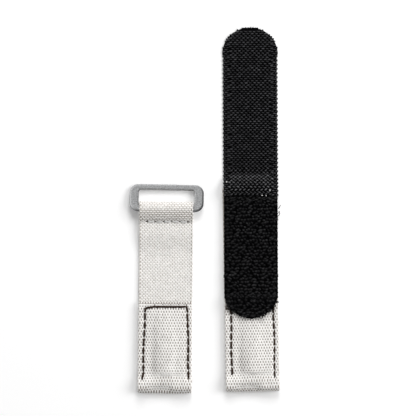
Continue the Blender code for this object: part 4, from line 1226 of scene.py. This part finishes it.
def hole_shadow_patches(strip, side, rise):
    """Painted shade at a seam's needle holes: flat dark patches, 1.7 mm long, on the yarns."""
    hole_shadows = []
    for x, t, _ in strip.holes[side]:
        spot, up = strip.surface([x], [t], side, rise)
        turned = Vector(up[0]).to_track_quat("Z", "Y").to_matrix().to_4x4()
        hole_shadow = dome_shape("dent", 0.2)
        hole_shadow.data.transform(Matrix.Translation(spot[0]) @ turned
                            @ Matrix.Rotation(math.radians(20), 4, "Z")
                            @ Matrix.Diagonal((1.7 * MM, 0.62 * MM, 0.12 * MM, 1.0)))
        # Crown and shade at 0 give the hole colour: painted shade
        dark = [0.0] * len(hole_shadow.data.vertices)
        for name in ("crown", "shade"):
            hole_shadow.data.attributes[name].data.foreach_set("value", dark)
        hole_shadow.data.materials.append(webbing_material())
        hole_shadows.append(hole_shadow)
    return hole_shadows


def webbing_pieces(node, strip, finer, jobs, hole_shadows=()):
    """A strip of webbing and, as a second piece, the floats of its weave. Its rows are
    closer together on the flap, the lug fold and some finer stretches."""
    layout = bpy.context.scene.strap_layout
    rows = spaced(strip.path.length, 0.8 * MM, [
        (0, layout.flap - layout.leg_start + MM, 0.4 * MM),
        (layout.flap - 8 * MM, strip.path.turn + 2 * MM, 0.2 * MM), *finer])
    columns = face_columns(layout.width / 2, 0.6 * MM, (7 * MM, 9.1 * MM, 0.35 * MM))
    cloth = new_object(f"{node}_cloth", strip.mesh(node, columns, rows))
    cloth.data.materials.append(webbing_material())
    shape = dome_shape("float")
    floats = dress(cloth, shape, webbing_material(), jobs)
    bpy.data.objects.remove(shape)
    floats = join(f"{node}_weave", floats + list(hole_shadows))
    for piece in (cloth, floats):
        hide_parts(node)
        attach(piece, "root")


def cut_edge(webbing, at, step, wide, long):
    """One row of short floats along a cut edge, a step sideways from the weave."""
    return {"From": at, "To": at + 0.01 * MM, "Map middle": OUTER_MAP, "Reach": 9.9 * MM,
            "Middle": step, "Across pitch": webbing.flap_pitch, "Along pitch": MM,
            "Size": (wide * MM, long * MM, webbing.yarn_rise), "Seed": 2,
            "Place jitter": 0.03 * MM, "Turn jitter": math.radians(5), "Size jitter": 0.08}


def weave(webbing, face, start, end, middle, reach, seed):
    """One cover job: the flap's weave, the front's, or the front's where it is pulled."""
    across, along = ((webbing.flap_pitch, webbing.flap_pick) if face == "flap"
                     else (webbing.front_pitch, webbing.front_pick))
    wide, long = {"flap": (0.65, 1.6), "front": (0.9, 1.14), "pulled": (0.9, 0.72)}[face]
    pulled = face == "pulled"
    along *= 1.12 if pulled else 1.0
    return {"From": start, "To": end, "Map middle": middle, "Reach": reach,
            "Across pitch": across, "Along pitch": along,
            "Size": (wide * across, long * along, webbing.yarn_rise * (1.5 if pulled else 1)),
            "Seed": seed, "Place jitter": 0.03 * MM, "Turn jitter": math.radians(4),
            "Size jitter": 0.06}


def picots(start, end, reach, pitch):
    """Cover jobs for the small bulges of a tape's two selvedges."""
    return [{"From": start, "To": end, "Map middle": OUTER_MAP, "Middle": side * reach,
             "Reach": 0.02 * MM, "Across pitch": 0.1 * MM, "Along pitch": pitch,
             "Size": (0.45 * MM, 0.8 * MM, 0.34 * MM), "Seed": 6} for side in (-1, 1)]


class STRAP_OT_short_webbing(bpy.types.Operator):
    """Build the short half's webbing: lug fold, puffed flap and fold round the ring"""

    bl_idname = "strap.short_webbing"
    bl_label = "Short Webbing"

    def execute(self, context):
        layout, webbing = context.scene.strap_layout, context.scene.strap_webbing
        strip = sewing_plan()[0]["short"]
        turned, end = strip.path.turn, strip.path.length
        front = strip.path.t_at(layout.flap + 0.1 * MM, turned)
        step = strip.path.t_at(layout.short_length - webbing.tail - 1 * MM, turned)
        seam = strip.path.t_at(layout.ring_seam, turned)
        reach = layout.width / 2 + 0.1 * MM
        finer = (turned, front, 0.6 * MM), (step, end, 0.3 * MM)
        webbing_pieces("short_webbing", strip, finer, [
            cut_edge(webbing, 0.34 * MM, 0.0, 0.64, 0.6),
            cut_edge(webbing, 1.13 * MM, webbing.flap_pitch / 2, 0.7, 0.8),
            weave(webbing, "flap", 1.6 * MM, step, OUTER_MAP, reach, 3),
            weave(webbing, "front", front, seam, INNER_MAP, reach, 5),
            weave(webbing, "pulled", seam + 0.5 * MM, seam + 4.9 * MM, INNER_MAP, reach, 6),
            weave(webbing, "front", seam + 5.0 * MM, end - 0.4 * MM, INNER_MAP, reach, 7)],
            hole_shadow_patches(strip, -1, 1.5 * webbing.yarn_rise))
        return {"FINISHED"}


class STRAP_OT_long_webbing(bpy.types.Operator):
    """Build the long half's webbing: lug fold, puffed flap and the layer under the tapes"""

    bl_idname = "strap.long_webbing"
    bl_label = "Long Webbing"

    def execute(self, context):
        layout, webbing = context.scene.strap_layout, context.scene.strap_webbing
        strip = sewing_plan()[0]["long"]
        end = strip.path.length
        webbing_pieces("long_webbing", strip, [(strip.path.turn, end, 0.6 * MM)], [
            weave(webbing, "flap", 0.4 * MM, end - 0.4 * MM, OUTER_MAP,
                  layout.width / 2 + 0.1 * MM, 11)])
        return {"FINISHED"}


class STRAP_OT_seams(bpy.types.Operator):
    """Sew every seam: a needle thread above and a bobbin thread below, in three colours"""

    bl_idname = "strap.seams"
    bl_label = "Seams"

    def execute(self, context):
        thread = context.scene.strap_thread
        for name, strip, side, runs, diameter, kind in sewing_plan()[1]:
            needle = name.endswith("needle_thread")
            dip = (1.5 if kind == "brown" else 0.9) * MM * (1 if needle else 0.25)
            rise = {"brown": 0.14, "white": 0.2, "black": 0.05}[kind] * MM if needle else 0.0
            pieces = []
            for points, pull in runs:
                spots, ups = strip.surface(points[:, 0], points[:, 1], side, 0.32 * diameter)
                run = float(np.linalg.norm(np.diff(spots, axis=0), axis=1).sum())
                values = {"Stitch": run / max(1, round(run / thread.stitch)),
                          "Diameter": diameter, "Rise": rise,
                          "Dip": dip * pull, "Fullness": 3.8, "Taper": 0.5,
                          "Ply turn": thread.ply_turn}
                pieces.append(sew_thread("run", spots, ups, values, thread_material(kind)))
            piece = join(f"{name}_sewn", pieces)
            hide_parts(name)
            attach(piece, "root")
        return {"FINISHED"}


def plate_outline(half_x, half_y, radius):
    """Points of a rounded rectangle, counter-clockwise from its right side."""
    points, corner_points = [], 9
    for quarter, (sx, sy) in enumerate(((1, 1), (-1, 1), (-1, -1), (1, -1))):
        for k in range(corner_points):
            angle = math.radians(90 * quarter + 90 * k / (corner_points - 1))
            points.append((sx * (half_x - radius) + radius * math.cos(angle),
                           sy * (half_y - radius) + radius * math.sin(angle)))
    return points


class STRAP_OT_ring(bpy.types.Operator):
    """Build the flat steel ring, which swivels in its fold"""

    bl_idname = "strap.ring"
    bl_label = "Ring"

    def execute(self, context):
        layout, ring = context.scene.strap_layout, context.scene.strap_ring
        opening_x = layout.width / 2 + ring.side_play
        opening_y = (ring.spacing - ring.bar) / 2
        outer_x, outer_y = opening_x + ring.side_bar, opening_y + ring.bar
        loops = []
        rounds = np.radians(np.linspace(0, 90, 5))
        for way, edge, half_x, half_y, corner in (
                (-1, ring.edge, outer_x, outer_y, ring.outer_corner),
                (1, ring.inner_edge, opening_x, opening_y, ring.inner_corner)):
            levels = [(edge + 0.08 * MM, -ring.depth / 2)]
            levels += [(edge * (1 - math.sin(a)),
                        edge * (1 - math.cos(a)) - ring.depth / 2) for a in rounds]
            levels += [(inset, -z) for inset, z in levels[::-1]]
            for inset, z in levels[::-way]:
                outline = plate_outline(half_x + way * inset, half_y + way * inset,
                                        corner + way * inset)
                loops.append([(x, y, z) for x, y in outline])
        # The far bar's lower edge rests on the table
        joint = next(j for j in frame["joints"] if j["name"] == "ring_swivel")
        reach, half = ring.spacing + ring.bar / 2 - ring.edge, ring.depth / 2 - ring.edge
        tilt = (math.asin((joint["pos_m"][2] - ring.edge) / math.hypot(reach, half))
                - math.atan2(half, reach))
        place = (Matrix.Translation(joint["pos_m"]) @ Matrix.Rotation(layout.ring_lean, 4, "Z")
                 @ Matrix.Rotation(-tilt, 4, "X")
                 @ Matrix.Translation((0, ring.spacing / 2, 0)))
        vertices = [place @ Vector(p) for loop in loops for p in loop]
        mesh = mesh_of("ring", vertices, bands(len(loops), len(loops[0]), closed=True))
        mesh.set_sharp_from_angle(angle=math.radians(40))
        # Points on the plate's sides are marked for their painted shade
        store(mesh, "side", [float(abs(loop[0][2]) < 0.36 * ring.depth)
                             for loop in loops for _ in loop])
        piece = new_object("ring_plate", mesh)
        mesh.materials.append(satin_steel(ring))
        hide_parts("buckle_ring")
        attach(piece, "ring")
        return {"FINISHED"}


class STRAP_OT_loop_tape(bpy.types.Operator):
    """Build the loop tape: woven ground and ridges of pile loops"""

    bl_idname = "strap.loop_tape"
    bl_label = "Loop Tape"

    def execute(self, context):
        layout, tape = context.scene.strap_layout, context.scene.strap_tape
        strip = sewing_plan()[0]["loop"]
        end = strip.path.length
        rows = spaced(end, 0.8 * MM, [
            (end - tape.loop_round, end - 1.5 * MM, 0.4 * MM), (end - 1.5 * MM, end, 0.1 * MM)])
        columns = face_columns(layout.width / 2, 0.8 * MM, (7.9 * MM, 9.4 * MM, 0.4 * MM))
        base = new_object("loop_tape_cloth", strip.mesh("loop tape", columns, rows))
        base.data.materials.append(nylon("ground"))
        ground = dome_shape("ground float")
        loop = loop_shape("pile loop")
        ribs = dress(base, ground, nylon("ground"), [
            {"From": 0.5 * MM, "To": end, "Map middle": INNER_MAP, "Reach": 9.9 * MM,
             "Across pitch": 1.2 * MM, "Along pitch": 0.8 * MM,
             "Size": (1.0 * MM, 0.7 * MM, tape.rib), "Least flat": 0.9, "Seed": 3}])
        first = tape.overlap - layout.layer_gap + 0.2 * MM
        pile = {"From": first, "To": end, "Map middle": OUTER_MAP, "Reach": 9.5 * MM,
                "Along pitch": tape.loop_row, "Across pitch": 1.15 * MM,
                "Place jitter": 0.28 * MM, "Turn jitter": math.radians(24),
                "Size jitter": 0.2, "Wave height": 0.24 * MM, "Wave length": 2.7 * MM,
                "Seed": tape.seed}
        loops = []
        # The lower loops take the dim ground nylon: painted shade low in the pile
        for step, thick, high, kind in (
                (0.0, 1.2, 0.98, "loops"), (0.2, 1.1, 0.9, "loops"),
                (0.45, 1.3, 0.5, "ground"), (0.7, 1.3, 0.42, "ground")):
            loops += dress(base, loop, nylon(kind), [
                {**pile, "From": first + step * tape.loop_row,
                 "Size": (1.4 * MM, thick * MM, high * MM)}])
        loops += dress(base, loop, nylon("loops"), [
            {**pile, "From": first - 0.3 * MM, "To": first + 1.4 * MM,
             "Along pitch": 0.7 * MM, "Across pitch": 1.3 * MM,
             "Size": (1.6 * MM, 1.4 * MM, 1.35 * MM)}])
        for shape in (ground, loop):
            bpy.data.objects.remove(shape)
        for piece in (join("loop_tape_cloth", [base] + ribs), join("loop_tape_pile", loops)):
            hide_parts("loop_tape")
            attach(piece, "root")
        return {"FINISHED"}


def bend_with_tape(piece):
    """Bake where a piece of the hook tape lies into its mesh."""
    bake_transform(piece)


class STRAP_OT_hook_tape(bpy.types.Operator):
    """Build the hook tape: one strip that comes down from the loop tape to its tip, and its
    field of hooks
    """

    bl_idname = "strap.hook_tape"
    bl_label = "Hook Tape"

    def execute(self, context):
        layout, tape = context.scene.strap_layout, context.scene.strap_tape
        strip = sewing_plan()[0]["hook"]
        end = strip.path.length
        rows = spaced(end, 0.8 * MM, [
            (0, 1.5 * MM, 0.12 * MM), (0, 10 * MM, 0.4 * MM), (end - 13 * MM, end, 0.4 * MM)])
        columns = face_columns(layout.width / 2, 0.9 * MM)
        base = new_object("hook_tape_cloth", strip.mesh("hook tape", columns, rows))
        base.data.materials.append(nylon("ground"))
        ground, hook = dome_shape("ground float"), hook_shape("hook")
        reach = layout.width / 2
        margin = (reach - tape.hook_field) / 2
        edge = {"From": 0.2 * MM, "To": end - 0.2 * MM, "Map middle": OUTER_MAP,
                "Reach": margin + 0.1 * MM, "Across pitch": 1.57 * MM,
                "Along pitch": tape.hook_row, "Size": (1.15 * MM, 0.42 * MM, 0.18 * MM),
                "Slant": tape.hook_slant, "Turn jitter": math.radians(5), "Seed": 9}
        # The margins' floats and, below, the picots take the hook nylon, with its painted
        # highlight on their crowns
        pieces = dress(base, ground, nylon("hooks"), [
            {**edge, "Middle": tape.hook_field + margin},
            {**edge, "Middle": -tape.hook_field - margin}])
        ribs = {"From": 0.3 * MM, "To": end - 0.3 * MM, "Along pitch": tape.hook_row}
        pieces += dress(base, ground, nylon("ground"), [
            {**ribs, "Map middle": OUTER_MAP, "Reach": tape.hook_field, "Seed": 4,
             "Across pitch": tape.hook_pitch, "Size": (1.1 * MM, 0.6 * MM, tape.rib)},
            {**ribs, "Map middle": INNER_MAP, "Reach": reach, "Least flat": 0.9, "Seed": 5,
             "Across pitch": 1.3 * MM, "Size": (1.1 * MM, 0.7 * MM, tape.rib)}])
        pair = 2 * tape.hook_row
        pieces += dress(base, ground, nylon("hooks"), picots(9 * MM, end, reach, pair))
        cloth = join("hook_tape_cloth", [base] + pieces)
        bend, low, high = [pair * round(strip.path.t_at(layout.hook_start + s) / pair)
                           for s in (10.6 * MM, 8.1 * MM, 1.7 * MM)]
        height = tape.hook_height
        row = {"Map middle": OUTER_MAP, "Reach": tape.hook_field, "Least flat": 0.9,
               "Across pitch": tape.hook_pitch, "Along pitch": tape.hook_row,
               "Size": (height, 1.3 * height, height), "Place jitter": 0.06 * MM,
               "Turn jitter": math.radians(6), "Size jitter": 0.08, "Seed": tape.seed}
        field = []
        # On the bend the hooks get the brighter painted glint
        for start, stop, slant, kind in (
                (pair, bend, tape.hook_slant, "hooks"), (bend, low, tape.bent_slant, "hooks"),
                (low, high, tape.bent_slant, "rubbed"), (high, end, tape.bent_slant, "hooks")):
            field += dress(cloth, hook, nylon(kind), [
                {**row, "From": start, "To": stop - 0.5 * tape.hook_row, "Slant": slant}])
        hooks = join("hook_field", field)
        for shape in (ground, hook):
            bpy.data.objects.remove(shape)
        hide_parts("hook_tape_root", "hook_tab")
        for piece in (cloth, hooks):
            bend_with_tape(piece)
        return {"FINISHED"}


class STRAP_OT_loose_ends(bpy.types.Operator):
    """Add the small untidy things: fibre ends, thread tails, a frayed tip and pale specks"""

    bl_idname = "strap.loose_ends"
    bl_label = "Loose Ends"

    def fibre(self, spots, diameter, material):
        """A fine thread through places on the table, in millimetres."""
        spots = np.array(spots, float) * MM
        run = np.concatenate([[0], np.cumsum(np.linalg.norm(np.diff(spots, axis=0), axis=1))])
        fine = np.linspace(0, run[-1], max(6, round(run[-1] / (0.12 * MM))))
        spots = np.stack([np.interp(fine, run, spots[:, i]) for i in range(3)], 1)
        for _ in range(3):
            spots[1:-1] = (spots[:-2] + 2 * spots[1:-1] + spots[2:]) / 4
        values = {"Stitch": MM, "Diameter": diameter, "Rise": 0.0, "Dip": 0.0, "Taper": 0.0,
                  "Ply turn": MM, "Ply depth": 0.1, "Plies": 2, "Sides": 6,
                  "Step": 0.12 * MM}
        return sew_thread("fibre", spots, np.tile((0.0, 0.0, 1.0), (len(spots), 1)), values,
                          material)

    def execute(self, context):
        layout, tape = context.scene.strap_layout, context.scene.strap_tape
        strip = sewing_plan()[0]["hook"]
        tuft = [self.fibre(spots, 0.24 * MM, nylon("loops")) for spots in (
            [(26.6, -3.2, 2.3), (27.2, -2.2, 2.5), (27.7, -1.7, 2.4), (28.0, -1.1, 2.1),
             (27.7, -0.5, 1.9)],
            [(26.8, -1.9, 2.3), (27.3, -0.9, 2.6), (27.9, -0.2, 2.3)],
            [(26.8, 0.2, 2.3), (27.5, 0.9, 2.6), (28.0, 1.4, 2.4), (28.2, 2.1, 2.1)])]
        tails = [self.fibre(spots, 0.32 * MM, thread_material("brown")) for spots in (
            [(9.9, -35.6, 3.0), (8.9, -35.2, 3.1), (8.0, -35.5, 2.9), (7.7, -36.2, 2.8),
             (8.3, -36.7, 2.9), (8.9, -36.2, 3.0)],
            [(9.8, -36.8, 3.0), (8.7, -36.9, 3.0), (7.6, -36.6, 2.8)])]
        for name, pieces, slot in (("loop_tape_tuft", tuft, "loop_tape"),
                                   ("thread_tails", tails, "brown_thread")):
            piece = join(name, pieces)
            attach(piece, "root")

        # Ends of yarn stand out about a millimetre apart round the tip's cut edge
        frays = []
        radius = layout.width / 2
        for i, angle in enumerate(np.radians(np.arange(24, 157, 5.4))):
            size = 0.5 + 0.35 * math.sin(7.3 * i) ** 2 + 0.25 * (i % 5 == 2)
            spot = strip.place @ Vector((
                (radius - 0.22 * MM) * math.cos(angle),
                layout.hook_end - radius + (radius - 0.22 * MM) * math.sin(angle),
                tape.backing / 2 + 0.04 * MM * math.sin(3.1 * i)))
            way = angle + layout.tape_lean + 0.35 * math.sin(5.7 * i)
            # The frays are lighter towards their tips: painted highlight
            fray = tube_shape("fray", [(0, 0), (0.35, 0.0), (0.7, 0.03), (1.0, 0.02)],
                              [0.26, 0.24, 0.14, 0.04], [0.1, 0.4, 0.7, 0.9])
            fray.data.transform(Matrix.Translation(spot) @ Matrix.Rotation(way, 4, "Z")
                                @ Matrix.Scale(size * MM, 4))
            fray.data.materials.append(nylon("hooks"))
            frays.append(fray)
        speck_look = pale_speck_finish(tape.lint)
        # Pale specks on the hook field
        for x, y, wide, long in ((8.1, 9.9, 0.5, 0.6), (24.2, 7.4, 0.42, 0.75),
                                 (21.3, 5.6, 0.65, 0.35), (22.8, 5.5, 0.36, 0.55)):
            across, along = below(strip, np.array([(x * MM, y * MM, 0.0)]), 0.0)[0]
            spot, _ = strip.surface([across], [along], 1, 0.9 * tape.hook_height)
            speck = dome_shape("lint", 0.2)
            speck.data.transform(Matrix.Translation(spot[0])
                                 @ Matrix.Diagonal((wide * MM, long * MM, 0.2 * MM, 1.0)))
            speck.data.materials.append(speck_look)
            frays.append(speck)
        bend_with_tape(join("tape_frays_and_lint", frays))
        return {"FINISHED"}


class STRAP_OT_stage(bpy.types.Operator):
    """Set the paper floor, the lamps and the camera over the strap"""

    bl_idname = "strap.stage"
    bl_label = "Stage"

    def lamp(self, name, place, size, power):
        """A square lamp that faces the strap, its size in metres."""
        data = bpy.data.lights.new(name, "AREA")
        data.shape, data.size, data.energy = "SQUARE", size, power
        lamp = bpy.data.objects.new(name, data)
        lamp.location = place
        lamp.visible_glossy = False
        lamp.rotation_euler = (-Vector(place)).to_track_quat("-Z", "Y").to_euler()
        bpy.context.scene.collection.objects.link(lamp)

    def execute(self, context):
        scene, stage = context.scene, context.scene.strap_stage
        # Half the paper's width, in metres, so that no edge shows
        reach = 3.0
        mesh = bpy.data.meshes.new("paper")
        mesh.from_pydata([(-reach, -reach, 0), (reach, -reach, 0), (reach, reach, 0),
                          (-reach, reach, 0)], [], [(0, 1, 2, 3)])
        mesh.materials.append(matt_paper(stage.paper, stage.glow))
        paper = new_object("paper_floor", mesh)
        world = bpy.data.worlds.new("even light")
        world.use_nodes = True
        tree = world.node_tree
        tree.nodes.clear()
        way = add(tree, "ShaderNodeTexCoord", output="Generated")
        way = add(tree, "ShaderNodeSeparateXYZ", (way,)).node.outputs
        # The even light falls off towards the lug ends, and what the steel reflects towards
        # the lower right
        low, high = 0.85 * stage.surround, 1.03 * stage.surround
        level = add(tree, "ShaderNodeMapRange", (way["Y"], -0.8, 0.6, low, high),
                    interpolation_type="SMOOTHSTEP")
        lean = add(tree, "ShaderNodeMath", (way["X"], -1.3, way["Y"]), operation="MULTIPLY_ADD")
        mirrored = add(tree, "ShaderNodeMapRange", (lean, -0.9, 1.3, 0.12, 1.0),
                       interpolation_type="SMOOTHSTEP")
        soft, studio, white = [
            add(tree, "ShaderNodeBackground", {"Color": rgba(stage.paper), "Strength": strength})
            for strength in (level, mirrored, 1.0)]
        paths = add(tree, "ShaderNodeLightPath").node.outputs
        both = add(tree, "ShaderNodeMixShader", (paths["Is Glossy Ray"], soft, studio))
        both = add(tree, "ShaderNodeMixShader", (paths["Is Camera Ray"], both, white))
        add(tree, "ShaderNodeOutputWorld", {"Surface": both})
        scene.world = world
        self.lamp("upper lamp", (0.1, 0.88, 0.71), 0.5, stage.upper_lamp)
        self.lamp("right lamp", (0.95, 0.25, 0.78), 0.8, stage.right_lamp)
        # The camera looks straight down, far enough off to frame the view's width
        data = bpy.data.cameras.new("camera")
        data.lens, data.clip_start, data.clip_end = stage.lens, 0.01, 20
        camera = bpy.data.objects.new("camera", data)
        camera.location = (stage.view_x, stage.view_y,
                           stage.view_width * stage.lens / data.sensor_width + 2 * MM)
        scene.collection.objects.link(camera)
        scene.camera = camera
        scene.view_settings.view_transform = "Standard"
        return {"FINISHED"}


class STRAP_PT_panel(bpy.types.Panel):
    """Lists the strap's pieces in the order they are built"""

    bl_idname = "STRAP_PT_panel"
    bl_label = "Watch Strap"
    bl_space_type = "VIEW_3D"
    bl_region_type = "UI"
    bl_category = "Watch Strap"

    def draw(self, context):
        for operator in OPERATORS:
            self.layout.operator(operator.bl_idname)
        for name, settings in SETTINGS.items():
            box = self.layout.box()
            for key in settings.__annotations__:
                box.prop(getattr(context.scene, name), key)


OPERATORS = (STRAP_OT_short_webbing, STRAP_OT_long_webbing, STRAP_OT_ring,
             STRAP_OT_loop_tape, STRAP_OT_hook_tape, STRAP_OT_seams,
             STRAP_OT_loose_ends, STRAP_OT_stage)


def register():
    """Add the settings, the operators and the panel."""
    for name, settings in SETTINGS.items():
        bpy.utils.register_class(settings)
        setattr(bpy.types.Scene, name, PointerProperty(type=settings))
    for kind in (*OPERATORS, STRAP_PT_panel):
        bpy.utils.register_class(kind)


def unregister():
    """Take them out again."""
    for kind in (STRAP_PT_panel, *reversed(OPERATORS)):
        bpy.utils.unregister_class(kind)
    for name, settings in SETTINGS.items():
        delattr(bpy.types.Scene, name)
        bpy.utils.unregister_class(settings)


def main():
    """Build every piece."""
    register()
    bpy.ops.strap.short_webbing()
    bpy.ops.strap.long_webbing()
    bpy.ops.strap.ring()
    bpy.ops.strap.loop_tape()
    bpy.ops.strap.hook_tape()
    bpy.ops.strap.seams()
    bpy.ops.strap.loose_ends()
    bpy.ops.strap.stage()


if __name__ == "__main__":
    main()
